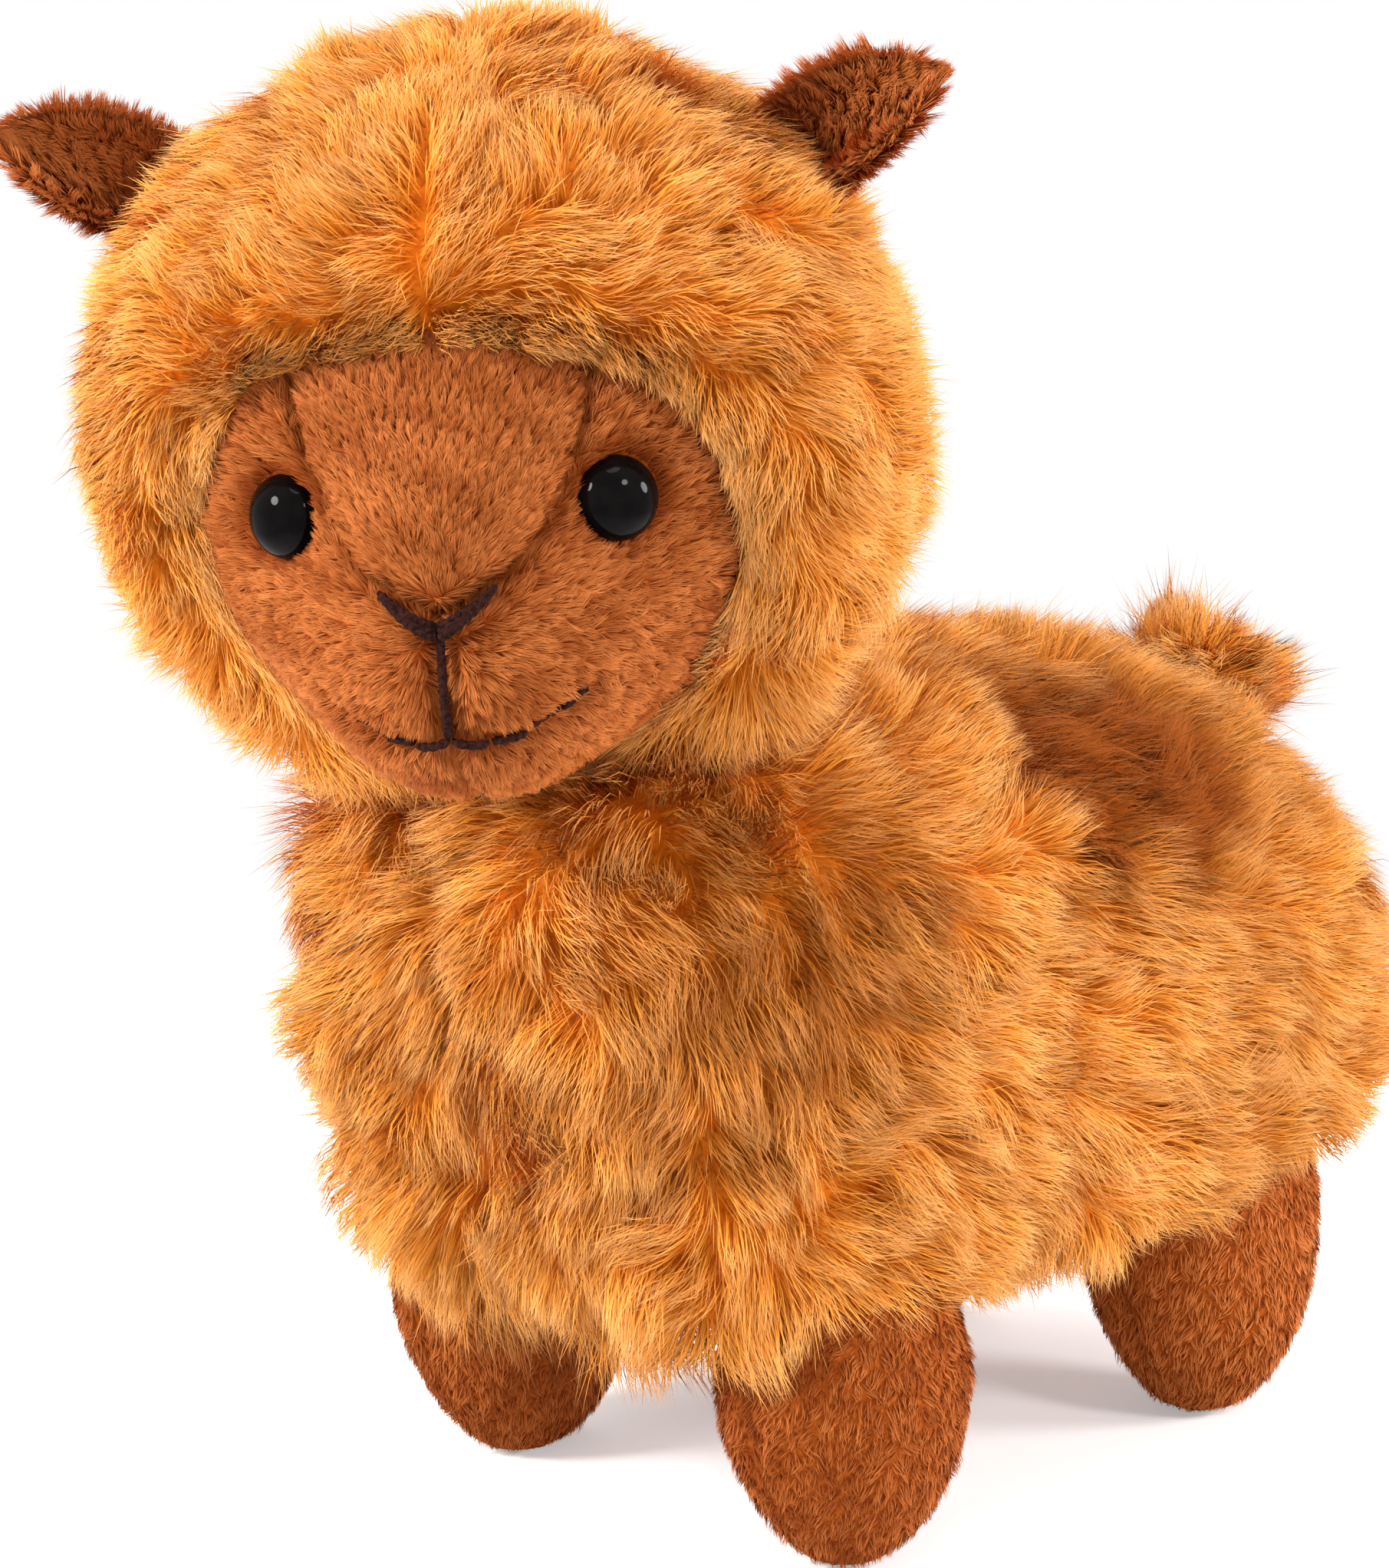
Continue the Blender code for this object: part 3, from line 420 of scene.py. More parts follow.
def ear_points(side, along, across, offset):
    root, tip = Vector(EAR_ROOT), Vector(EAR_TIP)
    axis = (tip - root).normalized()
    aside = axis.cross(Vector(EAR_FACING)).normalized()
    facing = aside.cross(axis)
    along, across = np.broadcast_arrays(along, across)
    reach = np.clip(along, 0, 1)
    belly = EAR_ROOT_WIDTH + (1 - EAR_ROOT_WIDTH) * np.sin(math.pi * reach**0.8)
    taper = np.clip((along - EAR_TIP_START) / (1.02 - EAR_TIP_START), 0, 0.985)
    half_width = EAR_HALF_WIDTH * belly * np.sqrt(1 - taper**EAR_TIP_SHAPE)
    cup = EAR_CUP * (1 - EAR_UNFOLDING * reach)
    bend = half_width / cup
    angle = across * cup
    away = np.sin(angle) * (bend + offset)
    back = (1 - np.cos(angle)) * bend - np.cos(angle) * offset
    steps = np.stack([along * (tip - root).length, away, back], axis=-1)
    return (np.array(root) + steps @ np.array([axis, aside, facing])) * (side, 1, 1)


# Materials

def set_inputs(node, **values):
    """Sets a shader node's inputs. An underscore stands for a space in an input's name."""
    for name, value in values.items():
        node.inputs[name.replace("_", " ")].default_value = value


def add_node(tree, kind, **values):
    node = tree.nodes.new("ShaderNode" + kind)
    set_inputs(node, **values)
    return node


def link(tree, source, output, target, entry):
    tree.links.new(source.outputs[output], target.inputs[entry])


def new_material(name):
    made = bpy.data.materials.new(name)
    made.use_nodes = True
    return made, made.node_tree, made.node_tree.nodes["Principled BSDF"]


def add_ramp(tree, source, output, stops):
    ramp = add_node(tree, "ValToRGB")
    while len(ramp.color_ramp.elements) < len(stops):
        ramp.color_ramp.elements.new(0.5)
    for element, (place, colour) in zip(ramp.color_ramp.elements, stops):
        element.position = place
        element.color = (*colour, 1)
    link(tree, source, output, ramp, "Fac")
    return ramp


def hair_material(name, dark, light, sheen, sheen_tint):
    """A colour that runs from root to tip, between a dark strand's and a light strand's; the darker root is
    painted shade.
    """
    made, tree, shader = new_material(name)
    place = add_node(tree, "UVMap")
    place.uv_map = "OFBake"
    parts = add_node(tree, "SeparateXYZ")
    link(tree, place, "UV", parts, "Vector")
    colour = add_node(tree, "Mix")
    colour.data_type = "RGBA"
    link(tree, parts, "X", colour, "Factor")
    link(tree, add_ramp(tree, parts, "Y", dark), "Color", colour, "A")
    link(tree, add_ramp(tree, parts, "Y", light), "Color", colour, "B")
    link(tree, colour, "Result", shader, "Base Color")
    set_inputs(shader, Roughness=0.65, Specular_IOR_Level=0.06, Sheen_Weight=sheen,
               Sheen_Roughness=0.4, Sheen_Tint=(*sheen_tint, 1))
    return made


def mottle(tree, shader, scale, detail, stops):
    """Colours a shader by noise, and gives the noise."""
    where = add_node(tree, "TexCoord")
    noise = add_node(tree, "TexNoise", Scale=scale, Detail=detail)
    link(tree, where, "Object", noise, "Vector")
    link(tree, add_ramp(tree, noise, "Fac", stops), "Color", shader, "Base Color")
    return noise


def cloth_material(name, dark, light, size, bump, roughness):
    """A mottled cloth with bumps about size across."""
    made, tree, shader = new_material(name)
    noise = mottle(tree, shader, 1 / size, 5, [(0.35, dark), (0.65, light)])
    raised = add_node(tree, "Bump", Distance=bump)
    link(tree, noise, "Fac", raised, "Height")
    link(tree, raised, "Normal", shader, "Normal")
    set_inputs(shader, Roughness=roughness, Specular_IOR_Level=0.06)
    return made


def eye_material():
    made, tree, shader = new_material("eye")
    mottle(tree, shader, 400, 2, [(0.4, (0.002, 0.0015, 0.0015)), (0.7, (0.004, 0.003, 0.003))])
    set_inputs(shader, Roughness=0.05, Specular_IOR_Level=0.05)
    return made


def make_looks():
    """The material and the slot of each kind of surface."""
    # Painted shade: each ramp darkens towards the root (0.0), for the shade deep in the fur and the pile.
    fur_dark = [(0.0, (0.22, 0.035, 0.001)), (0.5, (0.25, 0.048, 0.002)), (1.0, (0.30, 0.066, 0.006))]
    fur_light = [(0.0, (0.78, 0.190, 0.004)), (0.5, (0.88, 0.32, 0.040)), (1.0, (0.95, 0.52, 0.195))]
    pile_dark = [(0.0, (0.15, 0.019, 0.001)), (1.0, (0.31, 0.066, 0.009))]
    pile_light = [(0.0, (0.34, 0.064, 0.006)), (1.0, (0.69, 0.225, 0.060))]
    made = {
        "fur": (hair_material("fur_strands", fur_dark, fur_light, 0.16, (1.0, 0.58, 0.22)), "fur"),
        "pile": (hair_material("pile_strands", pile_dark, pile_light, 0.10, (0.9, 0.40, 0.12)), "short_pile"),
        "eye": (eye_material(), "eye"),
    }
    # Painted shade: the two backings are the cloth under the fur and the pile, coloured dark for the shade
    # deep in them.
    for name, slot, dark, light, size, bump, roughness in (
        ("fur_backing", "fur", (0.40, 0.070, 0.001), (0.58, 0.14, 0.006), 3, 0.4, 0.9),
        ("pile_backing", "short_pile", (0.18, 0.028, 0.002), (0.34, 0.075, 0.009), 1.2, 0.3, 0.9),
        ("thread", "thread", (0.008, 0.0025, 0.002), (0.036, 0.011, 0.008), 0.5, 0.1, 0.9),
        ("washer", "washer", (0.70, 0.70, 0.68), (0.80, 0.80, 0.78), 2, 0.05, 0.5),
    ):
        made[name] = (cloth_material(name, dark, light, size * MM, bump * MM, roughness), slot)
    return made


LOOKS = make_looks()


# Meshes

def add_object(name, data):
    obj = bpy.data.objects.new(name, data)
    bpy.context.scene.collection.objects.link(obj)
    return obj


def finish_piece(obj, look, nodes=()):
    """Gives a piece its look and its body, and hides the solids that it stands for."""
    material, slot = LOOKS[look]
    obj.data.materials.append(material)
    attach(obj, "root")
    if nodes:
        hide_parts(*nodes)
    return obj


def add_mesh(name, points, faces):
    mesh = bpy.data.meshes.new(name)
    mesh.from_pydata(points.reshape(-1, 3).tolist(), [], faces)
    mesh.update()
    mesh.shade_smooth()
    return add_object(name, mesh)


def grid_faces(rows, columns, closed=False):
    faces = []
    for i in range(rows - 1):
        for j in range(columns if closed else columns - 1):
            a = i * columns + j
            b = i * columns + (j + 1) % columns
            faces.append((a, b, b + columns, a + columns))
    return faces


def add_ball(name, grid):
    """A closed skin from rings of points; the first and the last ring meet in a point."""
    inner = grid[1:-1]
    rows, columns = inner.shape[:2]
    points = np.concatenate([inner.reshape(-1, 3), grid[0].mean(axis=0)[None], grid[-1].mean(axis=0)[None]])
    faces = grid_faces(rows, columns, closed=True)
    count = rows * columns
    last = count - columns
    for j in range(columns):
        k = (j + 1) % columns
        faces.append((count, k, j))
        faces.append((last + j, last + k, count + 1))
    return outwards(add_mesh(name, points, faces))


def add_shell(name, outer, inner):
    """A closed panel between two grids of points."""
    rows, columns = outer.shape[:2]
    count = rows * columns
    faces = grid_faces(rows, columns)
    faces += [tuple(i + count for i in reversed(face)) for face in faces]
    edges = [
        list(range(columns)),
        [(rows - 1) * columns + j for j in range(columns)][::-1],
        [i * columns for i in range(rows)][::-1],
        [i * columns + columns - 1 for i in range(rows)],
    ]
    for edge in edges:
        faces += [(b, a, a + count, b + count) for a, b in zip(edge, edge[1:])]
    return outwards(add_mesh(name, np.concatenate([outer.reshape(-1, 3), inner.reshape(-1, 3)]), faces))


def outwards(obj):
    """Turns a closed mesh's faces out, if they face in."""
    mesh = obj.data
    mesh.calc_loop_triangles()
    corners = np.empty(len(mesh.loop_triangles) * 3, np.int32)
    mesh.loop_triangles.foreach_get("vertices", corners)
    points = np.empty(len(mesh.vertices) * 3)
    mesh.vertices.foreach_get("co", points)
    a, b, c = points.reshape(-1, 3)[corners.reshape(-1, 3)].transpose(1, 0, 2)
    if (np.cross(a, b) * c).sum() < 0:
        mesh.flip_normals()
    return obj


RIBBON_LEAN = 0.4  # how round a ribbon is shaded across
TONE_STEP = 0.004  # by which a ribbon's sides differ in the map, so that its faces have an area there


def zigzag(middle, aside):
    """Both sides of each level of the strands and, at the tip, the middle alone."""
    made = np.empty((len(middle), 2 * middle.shape[1] - 1, 3))
    made[:, 0:-1:2] = middle[:, :-1] - aside
    made[:, 1:-1:2] = middle[:, :-1] + aside
    made[:, -1] = middle[:, -1]
    return made


def add_ribbons(name, lines, sides, normals, tone):
    """One mesh of tapered ribbons. lines, sides and normals are arrays of strand, level and XYZ.

    sides points across each ribbon, with half its width, and is left out at the tip. The map
    OFBake has a strand's tone across and the way from its root to its tip upwards.
    """
    count, levels = lines.shape[:2]
    points = zigzag(lines, sides)
    shade = zigzag(normals, unit(sides) * RIBBON_LEAN)
    pattern, places = [], []
    for level in range(levels - 2):
        low = 2 * level
        pattern += [low, low + 1, low + 3, low + 2]
        places += [(-1, level), (1, level), (1, level + 1), (-1, level + 1)]
    low = 2 * levels - 4
    pattern += [low, low + 1, low + 2]
    places += [(-1, levels - 2), (1, levels - 2), (0, levels - 1)]
    loops = len(pattern)
    strand = np.arange(count)[:, None]

    mesh = bpy.data.meshes.new(name)
    mesh.vertices.add(count * points.shape[1])
    mesh.vertices.foreach_set("co", points.ravel())
    mesh.loops.add(count * loops)
    corners = strand * points.shape[1] + np.array(pattern)
    mesh.loops.foreach_set("vertex_index", corners.astype(np.int32).ravel())
    mesh.polygons.add(count * (levels - 1))
    first = strand * loops + 4 * np.arange(levels - 1)
    mesh.polygons.foreach_set("loop_start", first.astype(np.int32).ravel())
    mesh.update(calc_edges=True)
    mesh.shade_smooth()
    places = np.array(places, float)
    uv = np.empty((count, loops, 2))
    uv[..., 0] = np.clip(tone, 0.01, 0.99)[:, None] + places[:, 0] * TONE_STEP
    uv[..., 1] = places[:, 1] / (levels - 1)
    layer = mesh.uv_layers.new(name="OFBake")
    layer.uv.foreach_set("vector", uv.astype(np.float32).ravel())
    mesh.normals_split_custom_set_from_vertices(unit(shade).reshape(-1, 3))
    return add_object(name, mesh)


# Roots of the fur

def scatter(surface, u_range, v_range, count, steps=200):
    """Random steps u and v of places spread evenly over the area of surface(u, v)."""
    u = np.linspace(*u_range, steps + 1)
    v = np.linspace(*v_range, steps + 1)
    grid = surface(u[:, None], v[None, :])
    down = grid[1:, :-1] - grid[:-1, :-1]
    across = grid[:-1, 1:] - grid[:-1, :-1]
    area = np.cumsum(np.linalg.norm(np.cross(down, across), axis=-1).ravel())
    picks = np.searchsorted(area, (np.arange(count) + random.random(count)) / count * area[-1])
    i, j = np.divmod(np.minimum(picks, area.size - 1), steps)
    return (
        u[i] + (u[1] - u[0]) * random.random(count),
        v[j] + (v[1] - v[0]) * random.random(count),
    )


def surface_normals(surface, u, v, points, middle, step):
    """Directions out of the surface, which are turned away from middle."""
    down = surface(u + step[0], v) - surface(u - step[0], v)
    across = surface(u, v + step[1]) - surface(u, v - step[1])
    normals = unit(np.cross(down, across))
    return normals * np.where(dot(normals, points - middle) < 0, -1, 1)


def along_surface(ways, normals):
    return unit(ways - dot(ways, normals) * normals)


def turned(ways, normals, angle):
    angle = np.asarray(angle)[..., None]
    return ways * np.cos(angle) + np.cross(normals, ways) * np.sin(angle)


def nearest(points, centres):
    """For each point, the number of the centre nearest to it."""
    tree = KDTree(len(centres))
    for i, centre in enumerate(centres):
        tree.insert(centre, i)
    tree.balance()
    return np.array([tree.find(point)[1] for point in points])


def spaced(points, distance):
    """Numbers of some of the points, at least distance apart."""
    taken, cells = [], {}
    keys = np.floor(points / distance).astype(int)
    steps = [(a, b, c) for a in (-1, 0, 1) for b in (-1, 0, 1) for c in (-1, 0, 1)]
    for i in random.permutation(len(points))[:LOCK_TRIES]:
        key = tuple(keys[i])
        near = [j for a, b, c in steps for j in cells.get((key[0] + a, key[1] + b, key[2] + c), ())]
        if all(((points[i] - points[j]) ** 2).sum() > distance**2 for j in near):
            taken.append(i)
            cells.setdefault(key, []).append(i)
    return np.array(taken)


# Strands

STRAND_LEVELS = np.array([0.0, 0.52, 1.0])
STRAND_TAPER = np.array([0.9, 0.85])
STRAY_SHARE = 0.10
STRAY_PULL = 0.1
LOCK_PULL = 0.85
WISP_PULL = 0.75
WISP_STRANDS = 30
TUFT_HAIRS = 14
TIP_SCATTER = 0.60 * MM
KNEE = (0.80, 0.30)  # shares of a strand's rise and of its run at which it bends
LOBE_SHADING = 0.9  # how round each lock is shaded
SHADE_SCATTER = 0.22
STRAND_ROLL = 0.5  # radians by which strands and hairs are twisted
HAIR_ROLL = 0.4
BUMP_HIGHLIGHT = 0.5  # painted light: how much lighter the fur is painted where it stands out


def varied(group, groups, shared, own):
    """A normal amount for each strand, in part the same for all of its group."""
    return random.normal(0, shared, groups)[group] + random.normal(0, own, len(group))


def scaled(group, groups, shared, own):
    """A factor for each strand, in part the same for all of its group. shared and own are ranges."""
    return random.uniform(*shared, groups)[group] * random.uniform(*own, len(group))


def grow_fur(name, roots, normals, flow, run, height, tone, clump, bumps, node):
    """Long fur, drawn together into locks and, within them, into wisps.

    flow is the way that the fur is brushed, run is how far a strand goes along it, height is
    how far its tip stands above its root, clump is how tightly it is drawn together, and bumps
    is the share by which it stands out more, where it is painted lighter too, as painted light.
    """
    count = len(roots)
    heads = spaced(roots, LOCK_SPACING)
    lock = nearest(roots, roots[heads])
    group = (lock, len(heads))
    flow = turned(flow, normals, varied(*group, 0.45, 0.42))
    height = height * (1 + bumps) * scaled(*group, (0.80, 1.18), (0.80, 1.10))
    run = run * scaled(*group, (0.7, 1.2), (0.75, 1.15))
    stray = random.random(count) < STRAY_SHARE
    height = np.where(stray, height * random.uniform(1.0, 1.4, count), height)
    tips = roots + normals * height[:, None] + flow * run[:, None]
    wisps = random.permutation(count)[: int(count / WISP_STRANDS)]
    wisp = wisps[nearest(roots, roots[wisps])]
    head = heads[lock]
    beside = roots - roots[head]
    pull = np.where(stray, STRAY_PULL, LOCK_PULL * clump)[:, None]
    tips = mix(tips, tips[head] + beside * 0.55, pull)
    pull = np.where(stray, STRAY_PULL, WISP_PULL * clump)[:, None]
    tips = mix(tips, tips[wisp] + (roots - roots[wisp]) * 0.25, pull)
    tips = tips + random.normal(0, TIP_SCATTER, (count, 3))

    way = tips - roots
    rise = dot(way, normals)
    knee = roots + normals * rise * KNEE[0] + (way - normals * rise) * KNEE[1]
    t = STRAND_LEVELS[None, :, None]
    start, middle, end = roots[:, None], knee[:, None], tips[:, None]
    lines = (1 - t) ** 2 * start + 2 * t * (1 - t) * middle + t**2 * end
    ahead = unit(2 * (1 - t) * (middle - start) + 2 * t * (end - middle))
    across = unit(np.cross(ahead, normals[:, None]))
    across = turned(across, ahead, random.normal(0, STRAND_ROLL, (count, 1)))
    width = STRAND_WIDTH * random.uniform(0.75, 1.2, count) * np.where(stray, 0.7, 1.0)
    sides = across[:, :-1] * STRAND_TAPER[None, :, None] * width[:, None, None] / 2
    lobe = unit(normals + LOBE_SHADING * beside / LOCK_SPACING)[:, None]
    shade = mix(lobe, unit(lobe - dot(lobe, ahead) * ahead), 0.5)
    shade = unit(shade + SHADE_SCATTER * random.normal(size=(count, 1, 3)))
    tone = tone + BUMP_HIGHLIGHT * bumps + varied(*group, 0.05, 0.08)
    return finish_piece(add_ribbons(name, lines, sides, shade, tone), "fur", [node])


def grow_pile(name, roots, normals, flow, length, tone, lift=0.42):
    """Short pile: single tapered hairs that lie over and gather into small tufts."""
    count = len(roots)
    heads = random.permutation(count)[: int(count / TUFT_HAIRS)]
    tuft = nearest(roots, roots[heads])
    lead = heads[tuft]
    group = (tuft, len(heads))
    flow = turned(flow, normals, varied(*group, 0.30, 0.2))
    reach = length * scaled(*group, (0.75, 1.15), (0.8, 1.1))
    rise = lift * scaled(*group, (0.6, 1.4), (0.85, 1.15))
    tips = roots + normals * (reach * np.sin(rise))[:, None] + flow * (reach * np.cos(rise))[:, None]
    tips = mix(tips, tips[lead] + (roots - roots[lead]) * 0.3, 0.5)
    ahead = unit(tips - roots)
    across = turned(unit(np.cross(ahead, normals)), ahead, random.normal(0, HAIR_ROLL, count))
    width = PILE_WIDTH * random.uniform(0.8, 1.25, count)[:, None] / 2
    shade = unit(normals - dot(normals, ahead) * ahead)
    shade = unit(mix(normals, shade, 0.6))
    tone = tone + varied(*group, 0.13, 0.12)
    lines, shades = np.stack([roots, tips], axis=1), np.stack([shade, shade], axis=1)
    return finish_piece(add_ribbons(name, lines, (across * width)[:, None], shades, tone), "pile")


def backing_ring(half, middle, seed):
    """Rings of a whole backing from those of its left half, with a fine unevenness."""
    ring = np.concatenate([half, half[:, -2:0:-1] * (-1, 1, 1)], axis=1)
    lump = SKIN_RELIEF * (waves(ring, 3.5 * MM, seed) + 0.6 * waves(ring, 2 * MM, seed + 1))
    return ring + unit(ring - middle) * lump[..., None]


# Body

FUR_ROOM = 9 * MM  # what the fur needs above its root


def body_flow(points, normals):
    """How the body's fur is brushed: down the chest, back along the sides and down at the hem."""
    local = points - TOY
    x, y, z = local.T / MM  # millimetres
    front = smooth_step(-1.3 * normals[:, 1] - 0.1)
    back = smooth_step(1.3 * normals[:, 1] - 0.2)
    top = smooth_step(1.4 * normals[:, 2] - 0.3)
    hem = eased(z, 48, -22)
    aside = np.sign(x) * (0.45 * top + 0.35 * front) * (1 - bell(x, 16))
    rear = mix((1 - front) * (1 - 0.6 * hem), -0.9 * top, eased(y, -45, -20))
    down = 0.45 + 0.9 * front + 1.1 * hem + 0.3 * back - 0.35 * top
    ways = along_surface(np.stack([aside, rear, -down], axis=-1), normals)
    return turned(ways, normals, 0.7 * waves(local, 22 * MM, 3) * (0.4 + 0.6 * front))


def body_roots(side, count, belly):
    """Places on the backing of one side panel or, for half the belly, of the gusset."""
    def patch(along, share):
        edge = belly_edge(along)
        low, high = (0, edge) if belly else (edge, math.pi)
        around = low + (high - low) * share - math.pi / 2
        return body_points(along, around, -FUR_SKIN) * (side, 1, 1) + TOY

    margin = 0.02
    along, share = scatter(patch, (margin, math.pi - margin), (0, 1), count)
    points = patch(along, share)
    middle = TOY + np.stack([0 * along, 0.55 * (points - TOY)[:, 1], 0 * along + BODY_WAIST], axis=-1)
    return points, surface_normals(patch, along, share, points, middle, (0.01, 0.01))


def with_room(points, normals):
    """The roots where fur of the body has room: not in the head, the neck or a leg."""
    free = ~inside_head(points, 0.0) & ~inside_head(points + normals * 0.6 * FUR_ROOM, -2 * MM)
    local = points - TOY
    for x, y in (FRONT_LEGS, REAR_LEGS):
        for side in (1, -1):
            across = (local[:, 0] - side * x) / (LEG_HALF_WIDTH - 2 * MM)
            along = (local[:, 1] - y) / (LEG_HALF_DEPTH - 2 * MM)
            free &= ~((normals[:, 2] < -0.6) & (across**2 + along**2 < 1))
    return points[free], normals[free]


def build_body():
    along = np.linspace(0, math.pi, 100)[:, None]
    around = np.linspace(-math.pi / 2, math.pi / 2, 71)[None, :]
    ring = backing_ring(body_points(along, around, -FUR_SKIN), (0, 0, BODY_WAIST), 51) + TOY
    finish_piece(add_ball("body_backing", ring), "fur_backing", ["body_stuffing"])
    for side, word in SIDES:
        points, normals = with_room(*body_roots(side, BODY_STRANDS, belly=False))
        local = points - TOY
        x, y, z = local.T / MM  # millimetres
        flow = body_flow(points, normals)
        hem = eased(z, 42, -14)
        front = eased(y, -30, -25)
        chest = eased(y, -52, -14)
        haunch = eased(y, 5, 25)
        rump = eased(y, 52, 16)
        top = smooth_step(1.4 * normals[:, 2] - 0.3)
        fall = hem * (4.0 * front + 5.5 * chest + 4.0 * chest * bell(x, 18))
        run = (7.0 + fall - 1.5 * top) * MM * (1 + 0.2 * waves(local, 20 * MM, 5))
        height = (5.6 + 0.6 * top - 1.0 * hem + 1.3 * chest * (side < 0) - 3.3 * rump) * MM
        # Painted shade: shaded darkens the fur in the hollow under the ridge of the back, where the ridge's
        # shadow falls.
        shaded = bell(np.abs(x) - 28, 13) * eased(z, 72, 18) * eased(y, -25, 20) * eased(y, 44, -34)
        # Painted shade: the chest is darker beside its middle and under the chin, for the head's shadow and
        # the hollow there.
        painted_chest_shade = bell(x - 35, 14) * bell(z - 85, 25) * front
        painted_chest_shade = painted_chest_shade + 0.5 * bell(x - 12, 5) * eased(z, 100, -20) * chest
        # Painted light: neck makes the fur low on the toy's right front lighter, against the head's shadow
        # that falls there.
        neck = bell(x + 42, 14) * front
        # Painted shade: the fur is darker in the partings and creases, where shade falls.
        tone = 0.81 + 0.06 * waves(local, 25 * MM, 7) + 0.12 * neck - 0.12 * body_creases(local)
        tone = tone - 0.17 * haunch - 1.1 * shaded - 0.48 * painted_chest_shade
        clump = 0.48 + 0.14 * waves(local, 30 * MM, 8) + 0.1 * chest - 0.15 * rump
        rough = 0.14 + 0.18 * np.maximum(np.maximum(front, shaded), painted_chest_shade)
        bumps = rough * (waves(local, 7 * MM, 6) + 0.5 * waves(local, 4 * MM, 9))
        grow_fur(f"body_{word}_fur", points, normals, flow, run, height, tone, clump, bumps,
                 f"body_{word}_panel")
    halves = [body_roots(side, BELLY_STRANDS // 2, belly=True) for side in (1, -1)]
    points, normals = with_room(*(np.concatenate(pair) for pair in zip(*halves)))
    flow = along_surface(np.broadcast_to((0, 1.0, -0.2), points.shape), normals)
    bumps = 0.15 * waves(points, 6 * MM, 10)
    height = (4.2 + 6.5 * eased((points - TOY)[:, 1] / MM, -38, -20)) * MM
    grow_fur("belly_fur", points, normals, flow, 7 * MM, height, 0.65, 0.5, bumps, "belly_panel")


# Head

CORNER_TURN = 42.0  # where the hood leaves more of the face bare, at the brow's ends
CORNER_SPREAD = 20.0
CORNER_RISE = 4.5
FRINGE_LIFT = 3.5  # and in the middle of the brow
FRINGE_SPREAD = 34.0


def hood_edge(turn):
    """The spread at which the hood's backing starts."""
    lift = FRINGE_LIFT * bell(turn - 90, FRINGE_SPREAD)
    return face_edge(turn) - 1.0 + CORNER_RISE * bell(turn - CORNER_TURN, CORNER_SPREAD) + lift


def hood_surface(side):
    """The hood's backing as a surface of the way from the face's edge to the back, and of the turn."""
    def surface(share, turn):
        edge = hood_edge(turn)
        spread = edge + (180 - edge) * share
        full = fur_depth(spread, turn) * (1 - FUR_SKIN / FUR_THICKNESS)
        points = head_points(spread, turn, mix(-SKIN_START, full, eased(spread, edge, SKIN_EDGE)))
        relief = tufts(points) * TUFT_HEIGHT * eased(spread, edge, FRINGE_RISE)
        return from_head((points + unit(points) * relief[..., None]) * (side, 1, 1))
    return surface


def hood_flow(local, normals, side):
    """How the hood's fur is brushed, and how near it is to the face's edge and to the crown."""
    mirrored = local * (side, 1, 1)
    spread, turn = head_angles(mirrored)
    outward = unit(head_direction(spread + 1, turn) - head_direction(spread - 1, turn))
    around = unit(head_direction(spread, turn - 1) - head_direction(spread, turn + 1))
    inside = spread - hood_edge(turn)
    high = smooth_step(0.45 + 0.75 * np.sin(np.radians(turn)))
    edge = eased(inside, 10, -10)
    behind = eased(spread, 95, 40)
    inward = mix(1.5, 0.25, high) * (1 - 0.8 * bell(turn - CORNER_TURN, CORNER_SPREAD)) * edge
    combed = 0.75 * bell(mirrored[:, 0], 27 * MM) * high * eased(inside, 6, 25)
    ways = (mix(0.95, 0.25, high) - inward)[:, None] * outward + mix(0.45, 0.9, high)[:, None] * around
    ways = mix(ways, 0.9 * outward + 0.35 * around, combed[:, None])
    ways = mix(ways, np.array([0.1, 0, -1.0]), 0.75 * behind[:, None])
    ways = along_surface((ways * (side, 1, 1)) @ HEAD_TURN.T, normals)
    crown = high * (1 - behind)
    swirl = (0.35 + 0.45 * crown) * waves(local, 20 * MM, 13)
    swirl = swirl + 0.6 * bell(local[:, 0], 5 * MM) * random.normal(size=len(local))
    return turned(ways, normals, swirl), edge, crown


